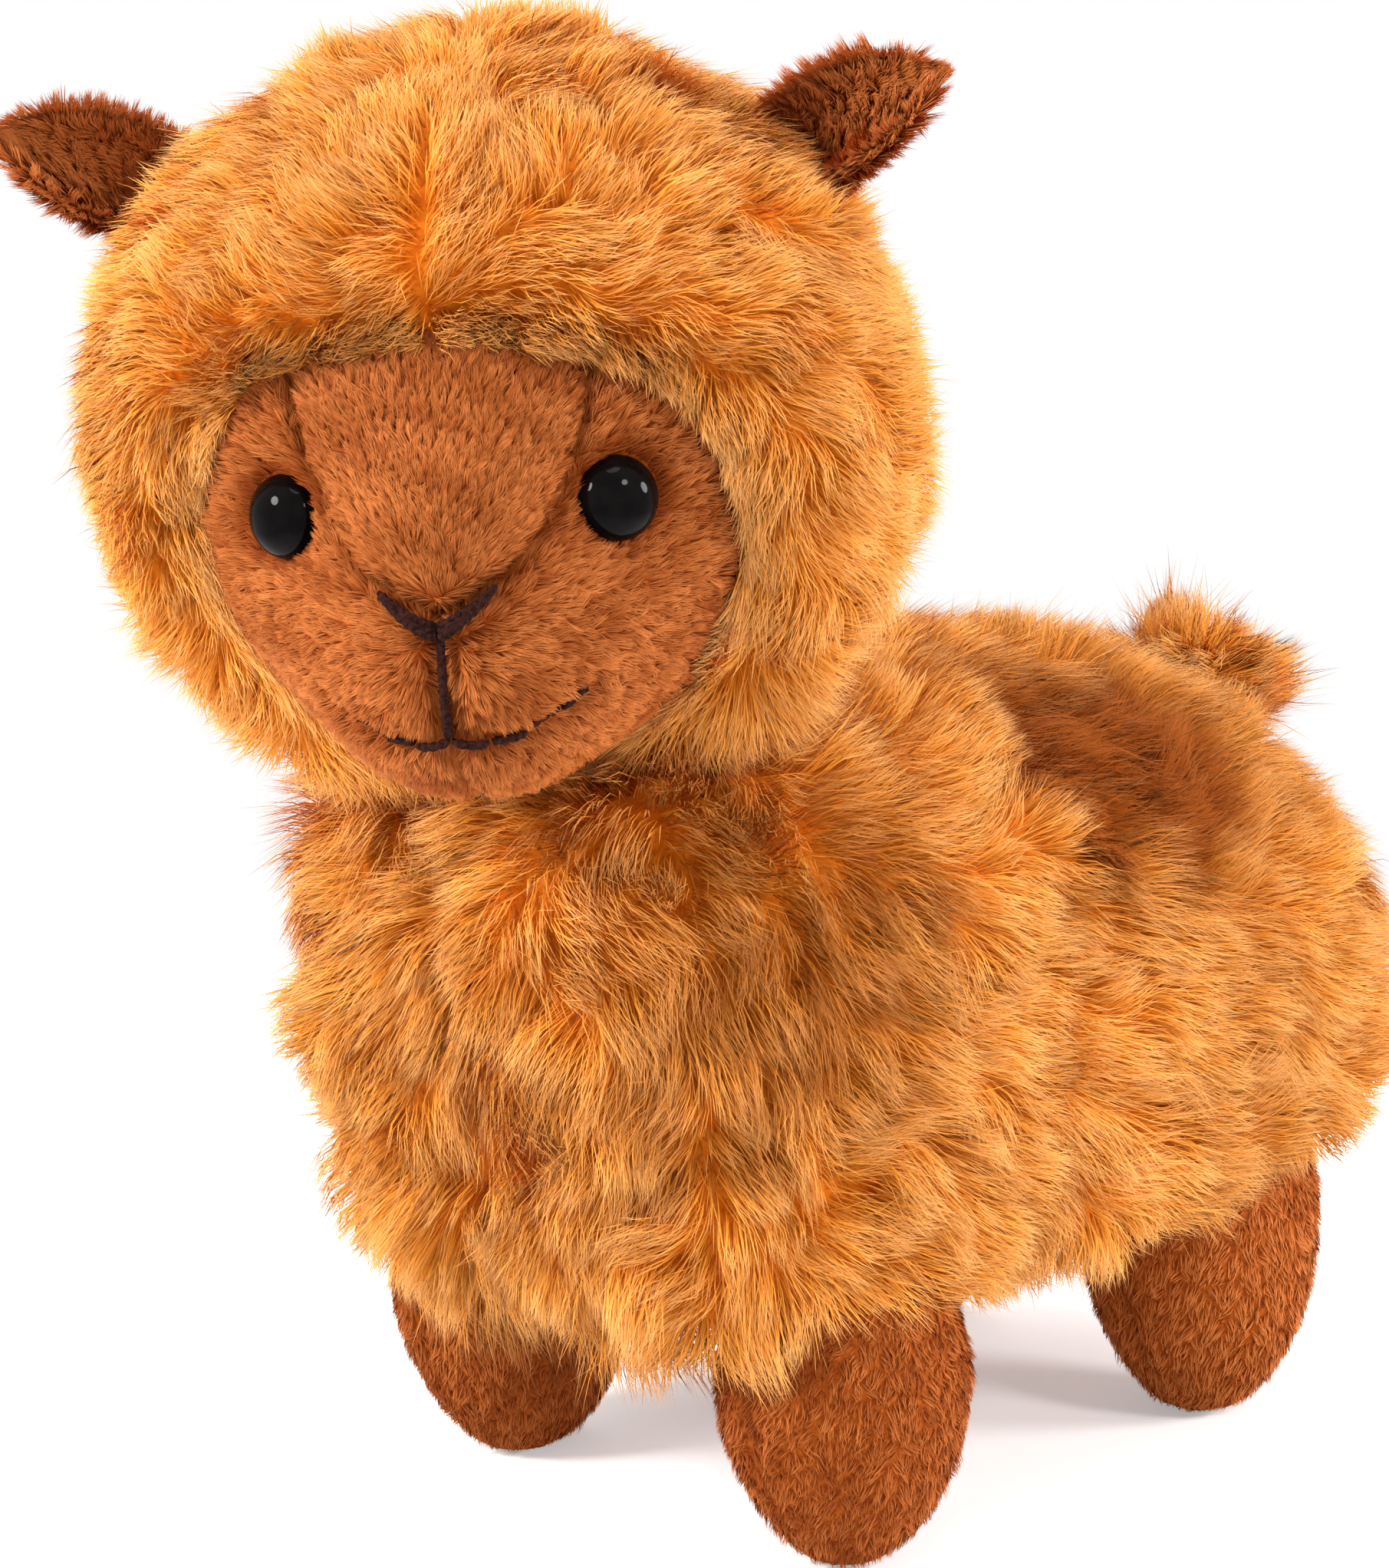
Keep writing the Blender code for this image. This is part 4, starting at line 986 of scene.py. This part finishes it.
def build_hood():
    turn = np.linspace(-90, 90, 61)[None, :]
    share = np.linspace(0, 1, 90)[:, None]
    ring = backing_ring(to_head(hood_surface(1)(share, turn)), (0, 0, 0), 53)
    hollow = np.broadcast_to(ring[0].mean(axis=0) * 0.2, ring[0].shape)
    ring = from_head(np.concatenate([hollow[None], ring]))
    finish_piece(add_ball("head_backing", ring), "fur_backing", ["head_stuffing"])
    for side, word in SIDES:
        surface = hood_surface(side)
        share, turn = scatter(surface, (0.0, 0.995), (-90, 90), HOOD_STRANDS)
        at_edge = random.random(HOOD_STRANDS) < EDGE_SHARE
        share = np.where(at_edge, random.random(HOOD_STRANDS) * 0.03, share)
        points = surface(share, turn)
        normals = surface_normals(surface, share, turn, points, HEAD_MIDDLE, (0.004, 1.0))
        neck = inside_body(points, -FUR_SKIN)
        points, normals = points[~neck], normals[~neck]
        local = to_head(points)
        x, y, z = local.T / MM  # millimetres
        flow, edge, crown = hood_flow(local, normals, side)
        seam = bell(x, 7) * crown * (1 - edge)
        # Painted light: right makes the fur on the hood's right side, away from the crown, lighter, for the
        # stronger light on that side; the fur is lower there too.
        right = eased(x, 0, -30) * (1 - crown)
        below = eased(z, -30, -12) * eased(y, 0, -15)
        height = (5.0 - 0.7 * crown - 0.8 * edge - 0.9 * seam - 1.2 * right + 1.6 * below) * MM
        run = (7.5 - 3.0 * crown - 3.0 * edge + 6.5 * below) * MM * (1 + 0.2 * waves(local, 20 * MM, 15))
        tone = 0.82 + 0.06 * waves(local, 25 * MM, 17) + 0.24 * right - 0.13 * crown
        clump = 0.32 + 0.20 * crown + 0.1 * waves(local, 25 * MM, 18)
        bumps = (0.12 + 0.09 * crown) * (waves(local, 6 * MM, 19) + 0.5 * waves(local, 3.5 * MM, 20))
        grow_fur(f"hood_{word}_fur", points, normals, flow, run, height, tone, clump, bumps,
                 f"hood_{word}_panel")


SEAM_DEPTH = 1.5 * MM
SEAM_WIDTH = 1.3 * MM
FACE_OVERLAP = 6.0  # degrees by which the face's cloth goes on under the hood
FACE_START = 0.6  # its first spread, beside the nose
NOSE_PLACE = (0, -52 * MM, -17 * MM)


def mouth_line(across):
    """How far above the nose the mouth runs, in degrees."""
    return -MOUTH_DROP - MOUTH_SAG * np.sin(math.pi * np.clip(np.abs(across) / MOUTH_HALF_WIDTH, 0, 1))


def from_mouth(across, rise):
    """Degrees from the mouth's line."""
    return np.hypot(np.maximum(across - MOUTH_HALF_WIDTH, 0), rise - mouth_line(across))


def muzzle_relief(spread, turn):
    """How far the muzzle stands out between the stitches, which draw it in."""
    across, rise = across_and_above(spread, turn)
    across = np.abs(across)
    lip = np.hypot(across, np.maximum(0, np.maximum(rise, -MOUTH_DROP - rise)))
    arm = NOSE_RISE * (np.minimum(across, NOSE_HALF_WIDTH) / NOSE_HALF_WIDTH) ** 1.2
    nose = np.hypot(np.maximum(across - NOSE_HALF_WIDTH, 0), rise - arm)
    mouth = 1.3 * bell(from_mouth(across, rise), 1.6)
    drawn_in = np.maximum(1.6 * bell(lip, 1.7), np.maximum(1.1 * bell(nose, 1.6), mouth))
    lobes = 1.1 * bell(across - 7, 6) * bell(rise + 7, 6)
    return (lobes - drawn_in) * MM


def face_surface(side, part, depth=0.0):
    """A cheek, or the left or right half of the centre piece, as a surface of two steps from 0 to 1."""
    def surface(share, step):
        share, step = np.broadcast_arrays(share, step)
        turn = np.full(share.shape, 40.0)
        for _ in range(6):
            spread = FACE_START + (hood_edge(turn) + FACE_OVERLAP - FACE_START) * share
            seam = gusset_turn(spread)
            low, high = (-90, seam) if part == "cheek" else (seam, 90)
            turn = low + (high - low) * step
        sunk = SEAM_DEPTH * bell(seam_distance(spread, turn), SEAM_WIDTH) - muzzle_relief(spread, turn)
        return from_head(head_points(spread, turn, depth - sunk) * (side, 1, 1))
    return surface


def eye_place(side):
    """Where an eye sits and which way it faces, in the CAD's frame."""
    spread = np.array(math.hypot(EYE_SIDE, EYE_RISE))
    turn = np.array(math.degrees(math.atan2(EYE_RISE, EYE_SIDE)))
    step = 2.0
    place = head_points(spread, turn) * (side, 1, 1)
    down = head_points(spread + step, turn) - head_points(spread - step, turn)
    across = head_points(spread, turn + step) - head_points(spread, turn - step)
    facing = unit(np.cross(down, across)) * (side, 1, 1)
    return from_head(place), facing @ HEAD_TURN.T


def build_face_part(name, node, halves, part, hairs):
    steps = np.linspace(0, 1, 50)
    depth = -0.5 * PILE_THICKNESS
    grids = []
    for grow in (depth, depth - 1.2 * MM):
        pieces = [face_surface(side, part, grow)(steps[:, None], steps[None, :]) for side in halves]
        if len(pieces) == 2:
            pieces = [pieces[0], pieces[1][:, -2::-1]]
        grids.append(np.concatenate(pieces, axis=1))
    finish_piece(add_shell(name, *grids), "pile_backing", [node])
    points, normals = [], []
    for side in halves:
        surface = face_surface(side, part, depth)
        share, step = scatter(surface, (0.0, 0.97), (0.0, 1.0), hairs // len(halves))
        points.append(surface(share, step))
        normals.append(surface_normals(surface, share, step, points[-1], HEAD_MIDDLE, (0.01, 0.01)))
    points, normals = np.concatenate(points), np.concatenate(normals)
    from_eye = np.min([np.linalg.norm(points - eye_place(side)[0], axis=-1) for side in (1, -1)], axis=0)
    free = from_eye > EYE_RADIUS - 0.1 * MM
    points, normals, from_eye = points[free], normals[free], from_eye[free]
    local = to_head(points)
    flow = along_surface((local - NOSE_PLACE) @ HEAD_TURN.T, normals)
    spread, turn = head_angles(local * np.where(local[:, :1] < 0, (-1, 1, 1), (1, 1, 1)))
    across, rise = across_and_above(spread, turn)
    # Painted shadow: the pile is darker from the eyes up to the hood, for the fringe's shadow.
    painted_fringe_shadow = eased(local[:, 2] / MM, 4, 18)
    # Painted shade and dark pile: the pile is darker in a ring round each eye, for the shadow in the eye's
    # socket and the darker pile there.
    rim = bell(from_eye - EYE_RADIUS, 1.1 * MM)
    # Painted shade: the pile is darker in the mouth's fold.
    mouth_fold_shade = bell(from_mouth(np.abs(across), rise), 1.2)
    # Painted shade: the pile is darker along the seams, in their grooves.
    seam = bell(seam_distance(np.maximum(spread, FACE_START), turn), 1.1 * MM)
    tone = 0.46 + 0.16 * waves(local, 4 * MM, 21) + 0.08 * waves(local, 20 * MM, 22)
    tone = tone - 0.34 * painted_fringe_shadow - 0.8 * rim - 0.4 * mouth_fold_shade - 0.3 * seam
    grow_pile(f"{name}_pile", points, normals, flow, PILE_LENGTH, tone)


def build_face():
    build_face_part("face_centre", "face_centre_panel", (1, -1), "centre", CENTRE_HAIRS)
    for side, word in SIDES:
        build_face_part(f"{word}_cheek", f"{word}_cheek_panel", (side,), "cheek", CHEEK_HAIRS)


SHANK_RADIUS = 1.5 * MM
SHANK_END = -3.0 * MM
EYE_BACK = -0.8 * MM


def build_eye(side, word):
    """A polished dome with a rounded rim, whose shank goes into the head."""
    place, facing = eye_place(side)
    turn = np.linspace(0, 2 * math.pi, 49)[:-1]
    rise = np.linspace(0, math.pi / 2, 20)
    profile = [(0.0, SHANK_END), (SHANK_RADIUS, SHANK_END), (SHANK_RADIUS, EYE_BACK)]
    profile += [(0.85 * EYE_RADIUS, EYE_BACK)]
    dome, top = EYE_RADIUS - 0.25 * MM, EYE_HEIGHT - 0.3 * MM
    profile += [(dome * math.cos(a) ** 0.9, top * math.sin(a)) for a in rise[:-1]]
    profile += [(0.0, top)]
    rotation = np.array(Vector(facing).to_track_quat("Z", "Y").to_matrix())
    rings = np.array([
        np.stack([radius * np.cos(turn), radius * np.sin(turn), 0 * turn + height], axis=-1)
        for radius, height in profile
    ])
    obj = add_ball(f"{word}_eye_dome", rings @ rotation.T + place)
    finish_piece(obj, "eye", [f"{word}_eye"])


# Stitches

THREAD_RADIUS = 0.6 * MM
PLY_TWIST = 2.4 * MM  # length of thread in which its two plies turn once
THREAD_END = 1.2 * MM  # how deep a stitch's ends go in
MOUTH_LIFTS = (-2.5, -2.3, -1.5, -0.35, -0.3, -0.9, -2.2, -1.5)  # mm, of the mouth's stitches in turn


def thread_tube(path, radius):
    """Points of a tube of two twisted plies around a path."""
    ahead = unit(np.gradient(path, axis=0))
    length = np.concatenate([[0], np.cumsum(np.linalg.norm(np.diff(path, axis=0), axis=1))])
    out = unit(path - HEAD_MIDDLE)
    out = unit(out - dot(out, ahead) * ahead)
    aside = np.cross(ahead, out)
    turn = np.linspace(0, 2 * math.pi, 13)[:-1][None, :]
    lobe = turn - (length / PLY_TWIST * 2 * math.pi)[:, None]
    reach = radius * (0.66 + 0.34 * np.abs(np.cos(lobe)))
    ends = np.ones(len(path))
    ends[[0, -1]] = 0.05
    ends[[1, -2]] = 0.75
    reach = reach * ends[:, None]
    ring = np.cos(turn)[..., None] * aside[:, None] + np.sin(turn)[..., None] * out[:, None]
    return path[:, None] + ring * reach[..., None]


def add_stitches(name, node, stitches):
    """Threads along paths of (across, above) places in degrees from the nose, with their lifts."""
    points, faces, start = [], [], 0
    for places, lift in stitches:
        spread = np.maximum(np.hypot(places[:, 0], places[:, 1]), 0.3)
        turn = np.degrees(np.arctan2(places[:, 1], places[:, 0]))
        arch = np.sin(math.pi * np.linspace(0, 1, len(places))) ** 0.35
        path = from_head(head_points(spread, turn, lift * arch - THREAD_END * (1 - arch)))
        tube = thread_tube(path, THREAD_RADIUS)
        rows, columns = tube.shape[:2]
        points.append(tube.reshape(-1, 3))
        faces += [tuple(i + start for i in face) for face in grid_faces(rows, columns, closed=True)]
        faces.append(tuple(start + j for j in range(columns))[::-1])
        faces.append(tuple(start + (rows - 1) * columns + j for j in range(columns)))
        start += rows * columns
    obj = add_mesh(name, np.concatenate(points), faces)
    finish_piece(outwards(obj), "thread", [node])


def build_stitches():
    arms = []
    for side in (-1, 1):
        for row, drop in enumerate((0.0, 0.7, 1.4)):
            end = (side * (NOSE_HALF_WIDTH - 0.8 * row), NOSE_RISE - drop + 0.2 * row)
            arms.append((np.linspace((0, -0.5 - drop), end, 24), (0.15 + 0.2 * row) * MM))
    add_stitches("nose_thread", "nose_stitching", arms)
    lip = [(np.linspace((0.25, -1.0), (-0.2, -MOUTH_DROP), 32), -0.35 * MM)]
    add_stitches("lip_thread", "lip_stitching", lip)
    mouth = []
    stops = np.linspace(-MOUTH_HALF_WIDTH, MOUTH_HALF_WIDTH, len(MOUTH_LIFTS) + 1)
    for lift, first, last in zip(MOUTH_LIFTS, stops, stops[1:]):
        across = np.linspace(first + 0.15, last - 0.15, 16)
        mouth.append((np.stack([across, mouth_line(across)], axis=-1), lift * MM))
    add_stitches("mouth_thread", "mouth_stitching", mouth)


# Ears

EAR_GAP = 0.09 * MM  # from the middle of an ear to the inner face of each layer
EAR_LAYER = 0.99 * MM  # and to its outer face
RIM_SHARE = 0.16  # of an ear's hairs, which stand on its sides
TIP_SHARE = 0.93  # those above this share stand at its tip


def rounded(along, across):
    """How thick an ear is at each place, from 1 to nearly 0 at its rim."""
    return (1 - 0.95 * np.abs(across) ** 6) * (1 - 0.95 * np.clip(along, 0, 1) ** 12)


def build_ear(side, word):
    along = np.linspace(-0.12, 1.0, 26)[:, None]
    across = np.linspace(-1, 1, 26)[None, :]
    middle = from_head(np.array(EAR_ROOT) * (side, 1, 1))
    for name, sign in (("front", -1), ("back", 1)):
        outer = sign * EAR_LAYER

        def surface(u, v, offset=outer, more=0.0):
            return from_head(ear_points(side, u, v, offset * rounded(u, v) + more))

        grids = [surface(along, across, offset) for offset in sorted((outer, sign * EAR_GAP))[::-1]]
        obj = add_shell(f"{word}_ear_{name}_cloth", *grids)
        finish_piece(obj, "pile_backing", [f"{word}_ear_{name}"])
        u, v = scatter(surface, (0.0, 0.999), (-1, 1), EAR_HAIRS, steps=80)
        at_rim = random.random(EAR_HAIRS)
        v = np.where(at_rim < RIM_SHARE, np.sign(v) * (1 - 0.04 * random.random(EAR_HAIRS)), v)
        u = np.where(at_rim > TIP_SHARE, 0.999 - 0.03 * random.random(EAR_HAIRS), u)
        points = surface(u, v)
        within = points - (surface(u, v, more=sign * MM) - points)
        normals = surface_normals(surface, u, v, points, within, (0.01, 0.01))
        rim = (np.abs(v) ** 6 * np.sign(v))[:, None] * unit(surface(u, v + 0.05) - surface(u, v - 0.05))
        rim = rim + (u[:, None] ** 10) * unit(surface(u, v) - surface(u - 0.05, v))
        flow = unit(points - middle) + 0.35 * random.normal(size=points.shape) + 2 * rim
        flow = along_surface(flow, normals)
        normals = unit(normals + 1.2 * rim)
        # Painted light: the ears' pile is lighter than the face's, for the light that falls on them; it is
        # darker towards the root.
        tone = 1.05 + 0.15 * waves(to_head(points), 4 * MM, 31) - 0.3 * eased(u, 0.35, -0.35)
        length = 3.3 * MM * (1 + 0.1 * np.abs(v) ** 4)
        grow_pile(f"{word}_ear_{name}_pile", points, normals, flow, length, tone, lift=0.6)


# Legs

LEG_TUCK = 2.5 * MM  # how far a leg narrows where it goes into the body's fur
LEG_TUCK_HEIGHT = 14 * MM
LEG_OVERLAP = 12 * MM  # how far a leg goes into the body
LEG_SKIN = 0.3 * PILE_THICKNESS
SOLE_LIFT = 0.6 * MM  # room for the pile under the sole
SOLE_HEIGHT = 2 * MM  # up to which the pile is pressed flat


def build_leg(name, x, y):
    place = TOY + np.array([x, y, 0])
    top = body_between(BODY_BOTTOM_FRONT, BODY_BOTTOM_REAR, y / BODY_HALF_LENGTH) + LEG_OVERLAP

    def surface(height, around):
        height, around = np.broadcast_arrays(height, around)
        seam = SEAM_DEPTH * bell(np.abs(np.cos(around)) * LEG_HALF_WIDTH, SEAM_WIDTH) * (height > 0.5 * MM)
        hidden = LEG_TUCK * smooth_step((height - top) / LEG_TUCK_HEIGHT + 1)
        points = leg_points(height, around, -LEG_SKIN - seam - hidden)
        points[..., 2] += SOLE_LIFT * (height < 1 * MM)
        return points + place

    heights = -SOLE_FLAT + (top + SOLE_FLAT) * np.linspace(0, 1, 30)[:, None] ** 1.6
    around = np.linspace(0, 2 * math.pi, 53)[:-1][None, :]
    skin = surface(heights, around)
    obj = add_ball(f"{name}_cloth", np.concatenate([skin, skin[-1:]]))
    nodes = [f"{name}_{part}" for part in ("outer_panel", "inner_panel", "stuffing")]
    finish_piece(obj, "pile_backing", nodes)
    height, turn = scatter(surface, (-SOLE_FLAT, top), (0, 2 * math.pi), LEG_HAIRS)
    points = surface(height, turn)
    middle = place + np.stack([0 * height, 0 * height, np.maximum(height, 12 * MM)], axis=-1)
    normals = surface_normals(surface, height, turn, points, middle, (0.3 * MM, 0.02))
    normals = np.where((height < 0.3 * MM)[:, None], (0, 0, -1.0), normals)
    free = ~inside_body(points, -FUR_SKIN)
    points, normals, height = points[free], normals[free], height[free]
    ways = np.broadcast_to((0, -0.25, -1.0), points.shape) + 0.3 * random.normal(size=points.shape)
    flow = along_surface(ways, normals)
    # Painted light and shade: the rear legs' pile is lighter and the front legs' darker, for the light on the
    # rear legs and the shade on the front ones.
    tone = (1.0 if y > 0 else 0.42) + 0.2 * waves(points, 3 * MM, 41) + 0.08 * waves(points, 18 * MM, 42)
    length = PILE_LENGTH * 0.75 * np.where(height < SOLE_HEIGHT, 0.5, 1.0)
    lift = 0.5 * np.where(height < SOLE_HEIGHT, 0.1, 1.0)
    grow_pile(f"{name}_pile", points, normals, flow, length, tone, lift)


# Tail

TAIL_SKIN = 7.5 * MM


def build_tail():
    turn = np.array(Euler((TAIL_TILT, 0, 0), "XYZ").to_matrix())
    place = TOY + np.array([0, TAIL_BACK, TAIL_HEIGHT])

    def surface(rise, around):
        rise, around = np.broadcast_arrays(rise, around)
        flat = np.cos(rise)
        shape = np.stack([flat * np.cos(around), flat * np.sin(around), np.sin(rise)], axis=-1)
        return shape * (np.array(TAIL_HALF_SIZES) - TAIL_SKIN) @ turn.T + place

    rise = np.linspace(-math.pi / 2, math.pi / 2, 24)[:, None]
    around = np.linspace(0, 2 * math.pi, 37)[:-1][None, :]
    finish_piece(add_ball("tail_backing", surface(rise, around)), "fur_backing")
    rise, around = scatter(surface, (-1.5, 1.5), (0, 2 * math.pi), TAIL_STRANDS, steps=80)
    points = surface(rise, around)
    normals = unit((points - place) @ turn / np.array(TAIL_HALF_SIZES) ** 2 @ turn.T)
    free = ~inside_body(points, -2 * MM)
    points, normals = points[free], normals[free]
    flow = along_surface(np.array([0, 0.0, 0.9]) + 1.0 * random.normal(size=points.shape), normals)
    bumps = 0.25 * waves(points, 4 * MM, 24)
    grow_fur("tail_fur", points, normals, flow, 6 * MM, 9.5 * MM, 0.80, 0.75, bumps, "tail")


# Stage

def way_out(azimuth, elevation):
    """The way from the toy to a viewer, in degrees: azimuth 0 is in front of it and 90 to its left."""
    azimuth, elevation = azimuth * DEG, elevation * DEG
    flat = math.cos(elevation)
    return Vector((math.sin(azimuth) * flat, -math.cos(azimuth) * flat, math.sin(elevation)))


def facing(way):
    """How a camera or a lamp turns to look along a way."""
    return way.to_track_quat("-Z", "Y").to_euler()


def add_lights():
    for name, (azimuth, elevation, size, power) in LIGHTS.items():
        light = bpy.data.lights.new(name, "AREA")
        light.shape = "DISK"
        light.size = size
        light.energy = power
        obj = add_object(name, light)
        obj.location = Vector(LIGHT_MIDDLE) + way_out(azimuth, elevation) * LIGHT_DISTANCE
        obj.rotation_euler = facing(Vector(LIGHT_TARGET) - obj.location)


def add_camera():
    camera = bpy.data.cameras.new("camera")
    camera.lens = CAMERA_LENS
    camera.sensor_width = SENSOR
    camera.clip_start = 0.01
    obj = add_object("camera", camera)
    way = way_out(CAMERA_AZIMUTH, CAMERA_PITCH)
    obj.location = Vector(TOY) + Vector(CAMERA_TARGET) + way * CAMERA_DISTANCE
    obj.rotation_euler = facing(-way)
    bpy.context.scene.camera = obj


def mix_shaders(tree, factor, first, second):
    made = add_node(tree, "MixShader")
    for socket, entry in zip((factor, first, second), made.inputs):
        tree.links.new(socket, entry)
    return made.outputs["Shader"]


def seen_as_white(tree):
    """1 for the rays that show the background: the camera's, and those that mirrors and glass send on."""
    path = add_node(tree, "LightPath")
    total = path.outputs["Is Camera Ray"]
    for ray in ("Is Glossy Ray", "Is Transmission Ray"):
        either = add_node(tree, "Math")
        either.operation = "MAXIMUM"
        tree.links.new(total, either.inputs[0])
        tree.links.new(path.outputs[ray], either.inputs[1])
        total = either.outputs["Value"]
    return total


def make_world():
    world = bpy.data.worlds.new("studio")
    bpy.context.scene.world = world
    world.use_nodes = True
    tree = world.node_tree
    ambient = tree.nodes["Background"]
    set_inputs(ambient, Color=WHITE, Strength=AMBIENT)
    white = add_node(tree, "Background", Color=WHITE, Strength=1.0)
    shown = mix_shaders(tree, seen_as_white(tree), ambient.outputs["Background"], white.outputs["Background"])
    tree.links.new(shown, tree.nodes["World Output"].inputs["Surface"])


def add_floor():
    """A floor that shows the toy's shadow close by and is white further out."""
    corners = np.array([(-1, -1, 0), (1, -1, 0), (1, 1, 0), (-1, 1, 0)]) * FLOOR_HALF
    floor = add_mesh("floor", corners, [(0, 1, 2, 3)])
    made, tree, shader = new_material("floor")
    set_inputs(shader, Base_Color=(0.9, 0.9, 0.9, 1), Roughness=0.9, Specular_IOR_Level=0.0)
    glow = add_node(tree, "Emission", Strength=FLOOR_GLOW)
    lit = add_node(tree, "AddShader")
    tree.links.new(shader.outputs["BSDF"], lit.inputs[0])
    tree.links.new(glow.outputs["Emission"], lit.inputs[1])
    distance = add_node(tree, "VectorMath")
    distance.operation = "LENGTH"
    tree.links.new(add_node(tree, "TexCoord").outputs["Object"], distance.inputs[0])
    far = add_node(tree, "MapRange", From_Min=SHADOW_REACH[0], From_Max=SHADOW_REACH[1])
    link(tree, distance, "Value", far, "Value")
    white = add_node(tree, "Emission")
    shown = mix_shaders(tree, far.outputs["Result"], lit.outputs["Shader"], white.outputs["Emission"])
    shown = mix_shaders(tree, seen_as_white(tree), shader.outputs["BSDF"], shown)
    tree.links.new(shown, tree.nodes["Material Output"].inputs["Surface"])
    floor.data.materials.append(made)


def main():
    bpy.context.scene.view_settings.view_transform = "Standard"
    add_camera()
    add_lights()
    make_world()
    add_floor()
    build_body()
    build_hood()
    build_face()
    build_stitches()
    for side, word in SIDES:
        build_eye(side, word)
        build_ear(side, word)
        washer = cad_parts[f"{word}_eye_washer"]
        washer.data.materials.clear()
        washer.data.materials.append(LOOKS["washer"][0])
    for end, (x, y) in (("front", FRONT_LEGS), ("rear", REAR_LEGS)):
        build_leg(f"{end}_left_leg", x, y)
        build_leg(f"{end}_right_leg", -x, y)
    build_tail()


main()
